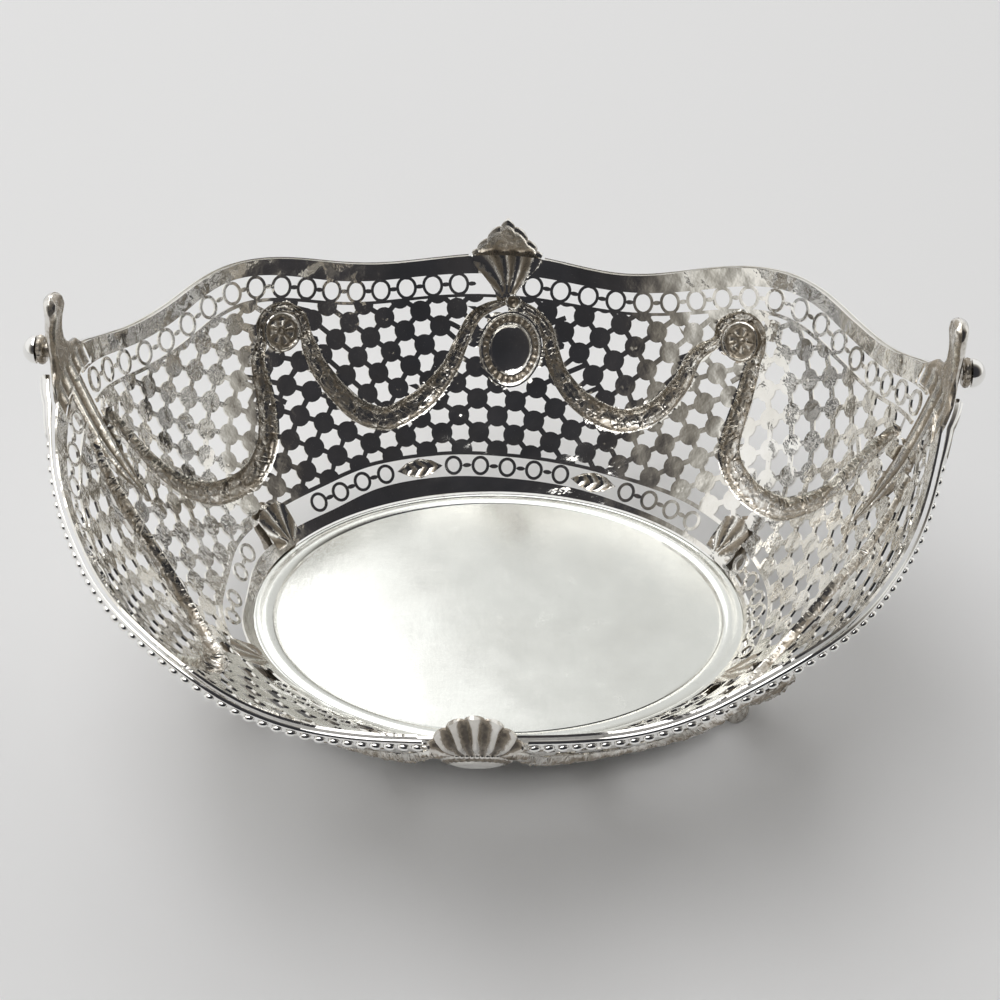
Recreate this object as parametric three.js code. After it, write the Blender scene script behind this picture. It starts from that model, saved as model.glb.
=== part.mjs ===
// Oval pierced dish in silver. An oval base plate sits in a ridged ring. A pierced wall in two halves
// flares from the ring to a wavy rim. A cast ear stands at each end with a domed button outside it,
// a beaded border in four lengths runs below the rim, a shell crest rises at the middle of each long
// side, and four cast feet carry the whole.
// Millimetres, +Z up. X runs from ear to ear and Y from front to back. The origin is the centre of
// the base plate's upper face.
import * as THREE from "three";

// Clearance between neighbouring pieces
const GAP = 0.3;

// Base plate and the ring around it
const BASE_HALF_LENGTH = 94.5;
const BASE_HALF_WIDTH = 67.6;
const PLATE_THICKNESS = 1.2;
const LEDGE_WIDTH = 3.2;
const LEDGE_THICKNESS = 1.2;
const RING_RIDGE = 3.6;
const WALL_FOOT = 1.0;

// Rim: an oval pushed in and out in plan, with waves in its height
const RIM_HALF_LENGTH = 152;
const RIM_HALF_WIDTH = 131;
const RIM_MEAN_HEIGHT = 89.1;
// How far the rim stands outside its oval at equal steps around it, in mm, from the right end to the
// back: full at the shoulders, drawn in towards the crests, and a little out of true all round
const RIM_PUSH = [
  0, -3, -0.5, 5, 1.6, -1.6, -1.9, 4.6, 1.7, 2.7, -2.9, -3,
  -3.4, -0.4, 1.5, 5.8, 5.8, -2.2, -2.1, -5.1, 1.3, 4.4, 1.3, -0.3,
];
// How many waves go around the height, and their size in mm: high ends, low flanks, raised middles
const HEIGHT_WAVES = [[2, 18.1], [4, 1.4], [6, 2.5], [8, 4.4], [10, -0.5], [12, 0.8]];

// Wall: its sheet, and how far it swells outwards between base and rim as a share of its spread
const WALL_THICKNESS = 1.0;
const SIDE_SWELL = 0.12;
const END_SWELL = 0.17;

// Piercing: bands up the wall as shares of its height, and how many columns a quarter has
const FOOT_BAND = [0.05, 0.142];
const RING_BAND = [0.826, 0.926];
const LATTICE_ROWS = 8;
const COLUMNS_PER_QUARTER = 18;
const LATTICE_OPEN = 0.88;
const RING_OPEN = 0.72;

// Solid ornament between the piercings, in degrees from the long axis and shares of the height
const MEDALLION = { angle: 90, rise: 0.564, halfWidth: 13, halfHeight: 15.6 };
const ROSETTE = { angle: 50.5, rise: 0.686, halfWidth: 8.5, halfHeight: 8.5 };
const SWAG_HALF_WIDTH = 4.5;
const SWAG_TOP = 0.763;
const INNER_SWAG = { from: 84, to: 54.4, low: 0.31 };
const OUTER_SWAG = { from: 47.5, to: 11, low: 0.268 };

// Ears: a stem below the rim band, shoulders that take the band's place, and a tab above
const EAR_HALF_ANGLE = 7.5;
const EAR_STEM_ANGLE = 3;
const EAR_FOOT_RISE = 0.675;
const EAR_EDGE_THICKNESS = 1.2;
const EAR_THICKNESS = 3.9;
const EAR_TAB_RADIUS = 6.5;
const EAR_NECK = 5.5;
const EAR_BOW = 0.19;
const EAR_SWELL = 0.8;
// How quickly the tab's back thins from its middle towards its edges
const EAR_TAB_FALL = 2.2;
// The tab's outline up to the middle of its round top, as shares of that height and of the neck's width
const EAR_TAB = [[0.06, 1.8], [0.22, 1.27], [0.58, 1], [0.84, 1.1]];

// The two ends differ a little: how high the ear's tab stands and how far its top leans inwards, and
// how far the button's plate and the border's plain strap stand off the ear's back
const ENDS = {
  right: { angle: 0, height: 26.4, lean: -0.4, plate: 0.3, strap: 1 },
  left: { angle: Math.PI, height: 28.2, lean: 1.2, plate: 1.45, strap: 2.6 },
};

// Button on each ear
const BUTTON_RADIUS = 5.1;
const BUTTON_HEIGHT = 121;
const BUTTON_PLATE_THICKNESS = 2.4;
const BUTTON_SHANK_RADIUS = 2.6;

// Border: how far out and down its beads stand from its upper edge, and their size and pitch
const BEAD_OUT = 0.8;
const BEAD_DOWN = 2.5;
const BEAD_RADIUS = 1.15;
const BEAD_NECK = 0.4;
const BEAD_PITCH = 4.54;
const PLAIN_END = 31;
const BORDER_START = 6.5;
// Share of the plain strap's distance from the ear's back that its inner edge keeps
const STRAP_STANDOFF = 0.35;

// Crests: where they stand on the rim in degrees, how high, and how full their outline is, which comes
// to a point at the back and makes a round arch at the front
const CRESTS = {
  back: { degrees: 91, height: 14.4, fullness: 1.3 },
  front: { degrees: 270.5, height: 15.6, fullness: 2.2 },
};
const CREST_HALF_WIDTH = 15;
const CREST_SKIRT = 11;
const CREST_THICKNESS = 2.2;
const CREST_LEAN = 2;
const CREST_STANDOFF = 1.2;
const CREST_LOBES = 7;
const CREST_FLUTE = 0.8;
const CREST_ROWS = [0, 0.25, 0.45, 0.75, 1];
const CREST_FOOT_SPREAD = 0.45;
const CREST_SCALLOP = 0.9;

// Feet
const FOOT_ANGLE = 27;
const FOOT_HEIGHT = 14;
const FOOT_LEAF_HEIGHT = 16;
const FOOT_HALF_WIDTH = 6.5;

const radians = THREE.MathUtils.degToRad;
const lerp = THREE.MathUtils.lerp;

// Closed solids from corner points, turned right side out by the sign of their volume
class Facets {
  constructor() {
    this.corners = [];
  }
  tri(a, b, c) {
    this.corners.push(a, b, c);
  }
  quad(a, b, c, d) {
    this.tri(a, b, c);
    this.tri(a, c, d);
  }
  geometry() {
    const volume = (a, b, c) => a.dot(new THREE.Vector3().crossVectors(b, c));
    let sum = 0;
    for (let i = 0; i < this.corners.length; i += 3) sum += volume(...this.corners.slice(i, i + 3));
    const ordered = sum < 0 ? this.corners.slice().reverse() : this.corners;
    const geometry = new THREE.BufferGeometry().setFromPoints(ordered);
    geometry.computeVertexNormals();
    return geometry;
  }
}

// A solid between two grids of points that face each other, given as rows of equal length
function plateSolid(inner, outer) {
  const facets = new Facets();
  const lastRow = inner.length - 1;
  const lastColumn = inner[0].length - 1;
  for (let j = 0; j < lastRow; j += 1) {
    for (let i = 0; i < lastColumn; i += 1) {
      facets.quad(inner[j][i], inner[j][i + 1], inner[j + 1][i + 1], inner[j + 1][i]);
      facets.quad(outer[j][i], outer[j + 1][i], outer[j + 1][i + 1], outer[j][i + 1]);
    }
    const next = j + 1;
    facets.quad(inner[j][0], inner[next][0], outer[next][0], outer[j][0]);
    facets.quad(inner[next][lastColumn], inner[j][lastColumn], outer[j][lastColumn], outer[next][lastColumn]);
  }
  for (let i = 0; i < lastColumn; i += 1) {
    facets.quad(inner[0][i + 1], inner[0][i], outer[0][i], outer[0][i + 1]);
    facets.quad(inner[lastRow][i], inner[lastRow][i + 1], outer[lastRow][i + 1], outer[lastRow][i]);
  }
  return facets.geometry();
}

// A bar through a row of sections, each a loop of points, closed on itself or capped at its ends
function barSolid(sections, closed) {
  const facets = new Facets();
  const sides = sections[0].length;
  const steps = closed ? sections.length : sections.length - 1;
  for (let j = 0; j < steps; j += 1) {
    const near = sections[j];
    const far = sections[(j + 1) % sections.length];
    for (let i = 0; i < sides; i += 1) {
      const next = (i + 1) % sides;
      facets.quad(near[i], far[i], far[next], near[next]);
    }
  }
  if (!closed) {
    const first = sections[0];
    const last = sections[sections.length - 1];
    for (let i = 1; i < sides - 1; i += 1) {
      facets.tri(first[0], first[i], first[i + 1]);
      facets.tri(last[0], last[i + 1], last[i]);
    }
  }
  return facets.geometry();
}

// The wall's surface
function baseEdge(angle) {
  return new THREE.Vector3(BASE_HALF_LENGTH * Math.cos(angle), BASE_HALF_WIDTH * Math.sin(angle), WALL_FOOT);
}

// A smooth value between the values of a closed ring of equal steps
function ringValue(values, angle) {
  const place = THREE.MathUtils.euclideanModulo(angle / (2 * Math.PI), 1) * values.length;
  const start = Math.floor(place);
  const at = (offset) => values[(start + offset + values.length) % values.length];
  const u = place - start;
  const slopeIn = (at(1) - at(-1)) / 2;
  const slopeOut = (at(2) - at(0)) / 2;
  const bend = 3 * (at(1) - at(0)) - 2 * slopeIn - slopeOut;
  const twist = slopeIn + slopeOut - 2 * (at(1) - at(0));
  return at(0) + u * (slopeIn + u * (bend + u * twist));
}

function rimEdge(angle) {
  const share = 1 + ringValue(RIM_PUSH, angle) / ((RIM_HALF_LENGTH + RIM_HALF_WIDTH) / 2);
  let height = RIM_MEAN_HEIGHT;
  for (const [waves, size] of HEIGHT_WAVES) height += size * Math.cos(waves * angle);
  const x = RIM_HALF_LENGTH * share * Math.cos(angle);
  return new THREE.Vector3(x, RIM_HALF_WIDTH * share * Math.sin(angle), height);
}

function innerPoint(angle, rise) {
  const low = baseEdge(angle);
  const high = rimEdge(angle);
  const swell = (SIDE_SWELL + END_SWELL) / 2 + (END_SWELL - SIDE_SWELL) / 2 * Math.cos(2 * angle);
  const spread = rise + swell * Math.sin(Math.PI * rise);
  const height = lerp(low.z, high.z, rise);
  return new THREE.Vector3(lerp(low.x, high.x, spread), lerp(low.y, high.y, spread), height);
}

// A point on the wall, or at a depth in mm outside its inner face
function wallPoint(angle, rise, depth = 0) {
  const small = 0.001;
  const point = innerPoint(angle, rise);
  if (depth === 0) return point;
  const along = innerPoint(angle + small, rise).sub(innerPoint(angle - small, rise));
  const up = innerPoint(angle, rise + small).sub(innerPoint(angle, rise - small));
  return point.addScaledVector(along.cross(up).normalize(), depth);
}

// The level direction that points outwards from a curve around the dish
function outward(curve, angle) {
  const small = 0.001;
  const along = curve(angle + small).sub(curve(angle - small));
  return new THREE.Vector3(along.y, -along.x, 0).normalize();
}

// How far the rim's outer corner, or an ear's, reaches out past the rim's inner edge
function rimReach(angle, depth) {
  return wallPoint(angle, 1, depth).sub(rimEdge(angle)).dot(outward(rimEdge, angle));
}

// Angle from the long axis, 0 to 90 degrees, in whichever quarter
function quarterDegrees(angle) {
  return THREE.MathUtils.radToDeg(Math.atan2(Math.abs(Math.sin(angle)), Math.abs(Math.cos(angle))));
}

// Where the solid ornament leaves no piercing
function swagLine(swag) {
  const middle = (swag.from + swag.to) / 2;
  const half = (swag.from - swag.to) / 2;
  const line = [];
  for (let share = -1; share <= 1; share += 0.1) {
    const rise = swag.low + (SWAG_TOP - swag.low) * Math.abs(share) ** 3;
    line.push(wallPoint(radians(middle + half * share), rise));
  }
  return line;
}
const SWAG_LINES = [swagLine(INNER_SWAG), swagLine(OUTER_SWAG)];

function onBoss(boss, angle, rise) {
  const centre = wallPoint(radians(boss.angle), boss.rise);
  const point = wallPoint(radians(angle), rise);
  const across = Math.hypot(point.x - centre.x, boss.angle === 90 ? 0 : point.y - centre.y);
  const along = (rise - boss.rise) * centre.length();
  return (across / boss.halfWidth) ** 2 + (along / boss.halfHeight) ** 2 < 1;
}

function onOrnament(angle, rise) {
  const degrees = quarterDegrees(angle);
  if (onBoss(MEDALLION, degrees, rise) || onBoss(ROSETTE, degrees, rise)) return true;
  const point = wallPoint(radians(degrees), rise);
  return SWAG_LINES.some((line) => line.some((spot) => spot.distanceTo(point) < SWAG_HALF_WIDTH));
}

// Levels of the wall's rows from base to rim
function wallLevels() {
  const levels = [0, FOOT_BAND[0]];
  for (let row = 0; row <= LATTICE_ROWS; row += 1) {
    levels.push(lerp(FOOT_BAND[1], RING_BAND[0], row / LATTICE_ROWS));
  }
  levels.push(RING_BAND[1], 1);
  return levels;
}

// Half of the wall, from one ear's middle to the other's, with its piercings
function wallHalf(start) {
  const seam = GAP / 2 / RIM_HALF_WIDTH;
  const stem = radians(EAR_STEM_ANGLE);
  const angles = [start + seam, start + stem];
  const columns = 2 * COLUMNS_PER_QUARTER - 2;
  for (let i = 0; i <= columns; i += 1) {
    angles.push(start + lerp(radians(EAR_HALF_ANGLE), Math.PI - radians(EAR_HALF_ANGLE), i / columns));
  }
  angles.push(start + Math.PI - stem, start + Math.PI - seam);
  const levels = wallLevels();
  const lastRow = levels.length - 2;
  const lastColumn = angles.length - 2;
  const earRow = levels.findIndex((level) => level > EAR_FOOT_RISE);

  // How much of a cell is open, or -1 where the ear takes the wall's place
  function openShare(j, i) {
    if (j < 0 || i < 0 || j > lastRow || i > lastColumn) return -1;
    const fromEar = Math.min(i, lastColumn - i);
    if (fromEar === 0 && j >= earRow || fromEar === 1 && j === lastRow) return -1;
    if (j === 0 || j === lastRow || fromEar === 0) return 0;
    if (j === lastRow - 1) return RING_OPEN;
    if (j === 1) return i % 2 === 1 ? RING_OPEN : 0;
    if ((i + j) % 2 === 1) return 0;
    const angle = (angles[i] + angles[i + 1]) / 2;
    return onOrnament(angle, (levels[j] + levels[j + 1]) / 2) ? 0 : LATTICE_OPEN;
  }

  const facets = new Facets();
  // The corners of a cell, drawn in towards its middle by a share, counter-clockwise from below
  function corners(j, i, share, depth) {
    const angle = (angles[i] + angles[i + 1]) / 2;
    const level = (levels[j] + levels[j + 1]) / 2;
    const signs = [[-1, -1], [1, -1], [1, 1], [-1, 1]];
    return signs.map(([across, up]) => wallPoint(
      angle + across * share * (angles[i + 1] - angles[i]) / 2,
      level + up * share * (levels[j + 1] - levels[j]) / 2,
      depth,
    ));
  }
  for (let j = 0; j <= lastRow; j += 1) {
    for (let i = 0; i <= lastColumn; i += 1) {
      const open = openShare(j, i);
      if (open < 0) continue;
      const inner = corners(j, i, 1, 0);
      const outer = corners(j, i, 1, WALL_THICKNESS);
      if (open === 0) {
        facets.quad(...inner);
        facets.quad(outer[0], outer[3], outer[2], outer[1]);
      } else {
        const innerHole = corners(j, i, open, 0);
        const outerHole = corners(j, i, open, WALL_THICKNESS);
        for (let k = 0; k < 4; k += 1) {
          const next = (k + 1) % 4;
          facets.quad(inner[k], inner[next], innerHole[next], innerHole[k]);
          facets.quad(outer[k], outerHole[k], outerHole[next], outer[next]);
          facets.quad(innerHole[k], innerHole[next], outerHole[next], outerHole[k]);
        }
      }
      const neighbours = [[j - 1, i], [j, i + 1], [j + 1, i], [j, i - 1]];
      neighbours.forEach(([row, column], k) => {
        if (openShare(row, column) >= 0) return;
        const next = (k + 1) % 4;
        facets.quad(inner[k], outer[k], outer[next], inner[next]);
      });
    }
  }
  return facets.geometry();
}

// Base plate and base ring
function basePlate() {
  const steps = 48;
  const edge = new THREE.Shape();
  edge.absellipse(0, 0, BASE_HALF_LENGTH - 2 * GAP, BASE_HALF_WIDTH - 2 * GAP, 0, 2 * Math.PI);
  const settings = { depth: PLATE_THICKNESS, bevelEnabled: false, curveSegments: steps / 2 };
  return new THREE.ExtrudeGeometry(edge, settings).translate(0, 0, -PLATE_THICKNESS);
}

function baseRing() {
  const steps = 48;
  const ledge = -PLATE_THICKNESS - GAP;
  const underside = ledge - LEDGE_THICKNESS;
  const top = WALL_FOOT - WALL_THICKNESS - GAP;
  const profile = [
    [-GAP, top], [-GAP, ledge], [-LEDGE_WIDTH, ledge], [-LEDGE_WIDTH, underside],
    [RING_RIDGE - 0.8, underside], [RING_RIDGE, -PLATE_THICKNESS], [RING_RIDGE - 1, top],
  ];
  const sections = [];
  for (let i = 0; i < steps; i += 1) {
    const angle = 2 * Math.PI * i / steps;
    const away = outward(baseEdge, angle);
    sections.push(profile.map(([off, z]) => baseEdge(angle).addScaledVector(away, off).setZ(z)));
  }
  return barSolid(sections, true);
}

// How thick an ear is at a share of its half width
function earThickness(share) {
  return lerp(EAR_THICKNESS, EAR_EDGE_THICKNESS, Math.min(1, share * share));
}

// How far an ear's tab leans inwards at a height above the rim: it bows out, then comes back
function tabLean(end, up) {
  const centre = end.height - EAR_TAB_RADIUS;
  return (end.lean + EAR_BOW * centre) * Math.min(1, up / centre) ** 2 - EAR_BOW * Math.min(up, centre);
}

// How much an ear's tab is thickened on both faces at a height above the rim
function tabSwell(end, up) {
  return EAR_SWELL * Math.min(1, up / (end.height - EAR_TAB_RADIUS)) ** 2;
}

// An ear: a stem and shoulders that fill the wall's cut-out at its end, and a rounded tab above them
function ear(end) {
  const middle = rimEdge(end.angle);
  const away = outward(rimEdge, end.angle);
  const shares = [-1, -0.6, -0.2, 0.2, 0.6, 1];
  const inner = [];
  const outer = [];
  const foot = wallLevels().find((level) => level > EAR_FOOT_RISE);
  const step = GAP / middle.z;
  const shoulder = RING_BAND[1] + step;
  const rows = [
    [foot + step, EAR_STEM_ANGLE], [RING_BAND[0], EAR_STEM_ANGLE], [shoulder - step / 3, EAR_STEM_ANGLE],
    [shoulder, EAR_HALF_ANGLE], [1, EAR_HALF_ANGLE],
  ];
  for (const [rise, degrees] of rows) {
    const halfAngle = radians(degrees) - GAP / RIM_HALF_WIDTH;
    const turn = (share) => end.angle + share * halfAngle;
    const thickness = (share) => earThickness(share * degrees / EAR_HALF_ANGLE);
    inner.push(shares.map((share) => wallPoint(turn(share), rise)));
    outer.push(shares.map((share) => wallPoint(turn(share), rise, thickness(share))));
  }
  // The tab's half width at heights above the rim, with its round top last
  const tabCentre = end.height - EAR_TAB_RADIUS;
  const tab = EAR_TAB.map(([up, half]) => [up * tabCentre, half * EAR_NECK]);
  tab.push([tabCentre, EAR_TAB_RADIUS]);
  for (const turn of [30, 55, 78]) {
    const up = tabCentre + EAR_TAB_RADIUS * Math.sin(radians(turn));
    tab.push([up, EAR_TAB_RADIUS * Math.cos(radians(turn))]);
  }
  const across = new THREE.Vector3(-away.y, away.x, 0);
  for (const [up, half] of tab) {
    const lean = tabLean(end, up);
    const swell = tabSwell(end, up);
    const row = (depth) => shares.map((share) => middle.clone()
      .setZ(middle.z + up)
      .addScaledVector(across, share * half)
      .addScaledVector(away, depth(share) - lean));
    inner.push(row(() => -swell));
    outer.push(row((share) => swell + earThickness(share * half / (EAR_TAB_RADIUS * EAR_TAB_FALL))));
  }
  return plateSolid(inner, outer);
}

// The button's plate with its shank, and its dome, turned about X and set outside the ear
function buttonProfile(points, end) {
  const middle = rimEdge(end.angle);
  const side = Math.sign(middle.x);
  const heights = [0, 0.15, 0.3, 0.45, 0.6].map((share) => share * end.height);
  const bow = Math.max(...heights.map((up) => tabSwell(end, up) - tabLean(end, up)));
  const start = Math.abs(middle.x) + EAR_THICKNESS + bow + GAP;
  const profile = points.map(([radius, height]) => new THREE.Vector2(radius, height));
  const geometry = new THREE.LatheGeometry(profile, 14);
  geometry.rotateZ(-side * Math.PI / 2);
  return geometry.translate(side * start, 0, BUTTON_HEIGHT);
}

function buttonPlate(end) {
  const back = end.plate;
  const front = end.plate + BUTTON_PLATE_THICKNESS;
  return buttonProfile([
    [0, 0], [BUTTON_SHANK_RADIUS, 0], [BUTTON_SHANK_RADIUS, back], [BUTTON_RADIUS - 0.8, back],
    [BUTTON_RADIUS, (back + front) / 2], [BUTTON_RADIUS - 0.4, front], [0, front],
  ], end);
}

function buttonDome(end) {
  const start = end.plate + BUTTON_PLATE_THICKNESS + GAP;
  const points = [[0, start]];
  for (const turn of [0, 22.5, 45, 67.5]) {
    points.push([BUTTON_RADIUS * Math.cos(radians(turn)), start + BUTTON_RADIUS * Math.sin(radians(turn))]);
  }
  points.push([0, start + BUTTON_RADIUS]);
  return buttonProfile(points, end);
}

// Angles at equal steps of length along the rim between two angles
function rimWalk(from, to) {
  const steps = 720;
  const lengths = [0];
  for (let i = 1; i <= steps; i += 1) {
    const step = rimEdge(lerp(from, to, i / steps)).distanceTo(rimEdge(lerp(from, to, (i - 1) / steps)));
    lengths.push(lengths[i - 1] + step);
  }
  const angleAt = (length) => {
    const i = Math.max(1, lengths.findIndex((value) => value >= length));
    const share = (length - lengths[i - 1]) / (lengths[i] - lengths[i - 1]);
    return lerp(from, to, (i - 1 + share) / steps);
  };
  return { total: lengths[steps], angleAt };
}

// One length of border, from an ear's button to a crest: a sloping band with beads along its lower
// edge. It stands off round the ear's back, and it has no beads there.
function border(end, start, crest) {
  const walk = rimWalk(start, crest);
  const crestWalk = rimWalk(crest, start);
  const fromCrest = (length) => Math.abs(rimEdge(crestWalk.angleAt(length)).x - rimEdge(crest).x);
  let stop = 0;
  while (fromCrest(stop) < CREST_HALF_WIDTH + GAP) stop += 0.25;
  const finish = walk.total - stop;
  const count = Math.floor((finish - PLAIN_END) / BEAD_PITCH);
  const stations = [];
  for (let i = 0; i < 5; i += 1) stations.push([lerp(BORDER_START, PLAIN_END, i / 5), 1]);
  for (let i = 0; i < count; i += 1) {
    stations.push([PLAIN_END + i * BEAD_PITCH, BEAD_NECK], [PLAIN_END + (i + 0.5) * BEAD_PITCH, 1]);
  }
  stations.push([finish, BEAD_NECK]);
  return barSolid(stations.map(([length, swell]) => {
    const angle = walk.angleAt(length);
    const share = Math.min(1, Math.abs(angle - start) / radians(EAR_HALF_ANGLE));
    const off = end.strap * (1 - Math.min(1, length / PLAIN_END) ** 2);
    const reach = rimReach(angle, earThickness(share)) + GAP;
    const edge = reach + off * STRAP_STANDOFF;
    const bead = BEAD_RADIUS * swell;
    const middle = reach + off + BEAD_OUT;
    const profile = [
      [edge, 0], [middle + BEAD_RADIUS / 2, -0.6], [middle + bead, -BEAD_DOWN],
      [middle, -BEAD_DOWN - bead], [edge, -BEAD_DOWN],
    ];
    const away = outward(rimEdge, angle);
    return profile.map(([distance, z]) => {
      const point = rimEdge(angle).addScaledVector(away, distance);
      return point.setZ(point.z + z);
    });
  }), false);
}

// A crest: a fluted shell whose lobes fan up and out from a skirt that lies on the wall's outside
function crest({ degrees, height, fullness }) {
  const angle = radians(degrees);
  const small = 0.001;
  const perRadian = rimEdge(angle + small).distanceTo(rimEdge(angle - small)) / (2 * small);
  // A point at a length along the rim, a height above or below it, and a depth into the crest
  function spot(along, up, depth) {
    const turn = angle + along / perRadian;
    const rise = 1 + Math.min(0, up) / rimEdge(turn).z;
    const lean = CREST_LEAN * Math.max(0, up) / height;
    const point = wallPoint(turn, rise, WALL_THICKNESS);
    point.addScaledVector(outward(rimEdge, turn), CREST_STANDOFF + lean + depth);
    return point.setZ(point.z + Math.max(0, up));
  }
  const steps = 2 * CREST_LOBES;
  const inner = [];
  const outer = [];
  for (const share of CREST_ROWS) {
    const rows = [[], []];
    for (let i = 0; i <= steps; i += 1) {
      const turn = Math.PI * i / steps;
      const scallop = i % 2 === 1 ? 1 : lerp(1, CREST_SCALLOP, share);
      const along = -Math.cos(turn) * lerp(CREST_FOOT_SPREAD, 1, share) * CREST_HALF_WIDTH * scallop;
      const top = height * (1 - Math.abs(Math.cos(turn)) ** fullness) * scallop;
      const up = lerp(-CREST_SKIRT, top, share);
      const flute = i % 2 === 1 ? CREST_FLUTE * share : 0;
      rows[0].push(spot(along, up, 0));
      rows[1].push(spot(along, up, CREST_THICKNESS + flute));
    }
    inner.push(rows[0]);
    outer.push(rows[1]);
  }
  return plateSolid(inner, outer);
}

// A foot: a cast leaf laid against the wall's outside, a knee, and a toe with a flat sole
function foot(angle) {
  const away = outward(baseEdge, angle);
  const standoff = RING_RIDGE + 2 * GAP;
  const small = 0.001;
  const perRadian = baseEdge(angle + small).distanceTo(baseEdge(angle - small)) / (2 * small);
  // Height, how far out the back of the foot stands from the base's edge, depth and half width
  const rows = [
    [FOOT_LEAF_HEIGHT, null, 1.6, 0.6], [FOOT_LEAF_HEIGHT * 0.6, null, 5.5, 0.95],
    [1.6, standoff, 8, 1], [-3, standoff, 7.5, 0.85], [-0.6 * FOOT_HEIGHT, standoff + 1.5, 5, 0.62],
    [-0.83 * FOOT_HEIGHT, standoff + 1.5, 6.2, 0.7], [-FOOT_HEIGHT, standoff + 1.5, 7, 0.78],
  ];
  const inner = [];
  const outer = [];
  for (const [z, off, depth, width] of rows) {
    const spots = [-1, 0, 1].map((share) => {
      const turn = angle + share * width * FOOT_HALF_WIDTH / perRadian;
      if (off !== null) return baseEdge(turn).addScaledVector(outward(baseEdge, turn), off).setZ(z);
      return wallPoint(turn, z / rimEdge(turn).z, WALL_THICKNESS + GAP);
    });
    inner.push(spots);
    outer.push(spots.map((spot, k) => {
      const bulge = k === 1 ? depth : depth * 0.72;
      return spot.clone().addScaledVector(away, bulge).setZ(z);
    }));
  }
  const level = outer.length - 1;
  inner[level].forEach((spot) => spot.setZ(-FOOT_HEIGHT));
  return plateSolid(inner, outer);
}

// Finishes
const polished = new THREE.MeshStandardMaterial({ color: 0xd2d3d2, metalness: 1, roughness: 0.12 });
const satin = new THREE.MeshStandardMaterial({ color: 0xcfcfcb, metalness: 1, roughness: 0.34 });
const pierced = new THREE.MeshStandardMaterial({ color: 0xb9b5ad, metalness: 1, roughness: 0.24 });
const cast = new THREE.MeshStandardMaterial({ color: 0x9b958b, metalness: 1, roughness: 0.36 });

const dish = new THREE.Group();
function add(name, geometry, material) {
  const mesh = new THREE.Mesh(geometry, material);
  mesh.name = name;
  dish.add(mesh);
}

add("base_plate", basePlate(), satin);
add("base_ring", baseRing(), polished);
add("wall_back", wallHalf(0), pierced);
add("wall_front", wallHalf(Math.PI), pierced);
for (const [name, end] of Object.entries(ENDS)) {
  add(`ear_${name}`, ear(end), cast);
  add(`button_plate_${name}`, buttonPlate(end), cast);
  add(`button_dome_${name}`, buttonDome(end), polished);
}
for (const [name, shape] of Object.entries(CRESTS)) {
  const middle = radians(shape.degrees);
  add(`crest_${name}`, crest(shape), cast);
  const right = name === "back" ? 0 : 2 * Math.PI;
  add(`border_${name}_right`, border(ENDS.right, right, middle), polished);
  add(`border_${name}_left`, border(ENDS.left, Math.PI, middle), polished);
}
for (const [name, quarter] of [["back_right", 0], ["front_left", Math.PI]]) {
  add(`foot_${name}`, foot(quarter + radians(FOOT_ANGLE)), cast);
}
for (const [name, quarter] of [["back_left", Math.PI], ["front_right", 2 * Math.PI]]) {
  add(`foot_${name}`, foot(quarter - radians(FOOT_ANGLE)), cast);
}

export default dish;
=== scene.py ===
"""Looks of an oval pierced dish in silver: a pierced and chased wall, cast ears, a beaded border, shell
crests, leaf feet and a worn floor, on a pale studio floor.

Sizes are in millimetres and in the part's own frame, and are scaled once when a mesh is made. Angles go
round the dish from the right end towards the back. Rise goes up the wall, 0 at the base and 1 at the rim.
Depth goes through the sheet, from the wall's inner face outwards.
"""
import math

import bpy
import numpy as np
from mathutils import Matrix, Vector
from mathutils.geometry import delaunay_2d_cdt
from mathutils.kdtree import KDTree


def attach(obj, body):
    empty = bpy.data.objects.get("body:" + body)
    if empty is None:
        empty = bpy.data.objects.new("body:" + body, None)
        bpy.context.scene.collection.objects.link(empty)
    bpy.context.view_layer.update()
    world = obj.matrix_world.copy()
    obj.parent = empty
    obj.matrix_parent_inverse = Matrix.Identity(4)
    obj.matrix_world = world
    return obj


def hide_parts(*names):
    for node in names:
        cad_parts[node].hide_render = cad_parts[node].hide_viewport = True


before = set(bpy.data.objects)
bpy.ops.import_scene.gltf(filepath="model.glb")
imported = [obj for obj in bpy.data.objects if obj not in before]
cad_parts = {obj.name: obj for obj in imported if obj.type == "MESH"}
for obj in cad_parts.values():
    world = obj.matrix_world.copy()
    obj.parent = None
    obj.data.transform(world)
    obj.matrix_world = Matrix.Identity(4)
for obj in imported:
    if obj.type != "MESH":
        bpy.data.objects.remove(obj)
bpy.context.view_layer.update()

MM = 0.001
TAU = 2 * math.pi

# Base plate, the ring around it and the wall's foot, as in the part
BASE_HALF_LENGTH = 94.5
BASE_HALF_WIDTH = 67.6
PLATE_THICKNESS = 1.2
LEDGE_WIDTH = 3.2
LEDGE_THICKNESS = 1.2
RING_RIDGE = 3.6
WALL_FOOT = 1.0
GAP = 0.3

# Rim and sheet, as in the part
RIM_HALF_LENGTH = 152
RIM_HALF_WIDTH = 131
RIM_MEAN_HEIGHT = 89.1
RIM_PUSH = [
    0, -3, -0.5, 5, 1.6, -1.6, -1.9, 4.6, 1.7, 2.7, -2.9, -3,
    -3.4, -0.4, 1.5, 5.8, 5.8, -2.2, -2.1, -5.1, 1.3, 4.4, 1.3, -0.3,
]
HEIGHT_WAVES = [(2, 18.1), (4, 1.4), (6, 2.5), (8, 4.4), (10, -0.5), (12, 0.8)]
SIDE_SWELL = 0.12
END_SWELL = 0.17
WALL_THICKNESS = 1.0
COVE = 4.5

# Bands up the wall: plain foot, ring row, line, lattice, line, ring row, chased band
FOOT_BAND = 0.05
LOW_LINE = (0.129, 0.142)
HIGH_LINE = (0.811, 0.826)
RIM_BAND = 0.926
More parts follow.
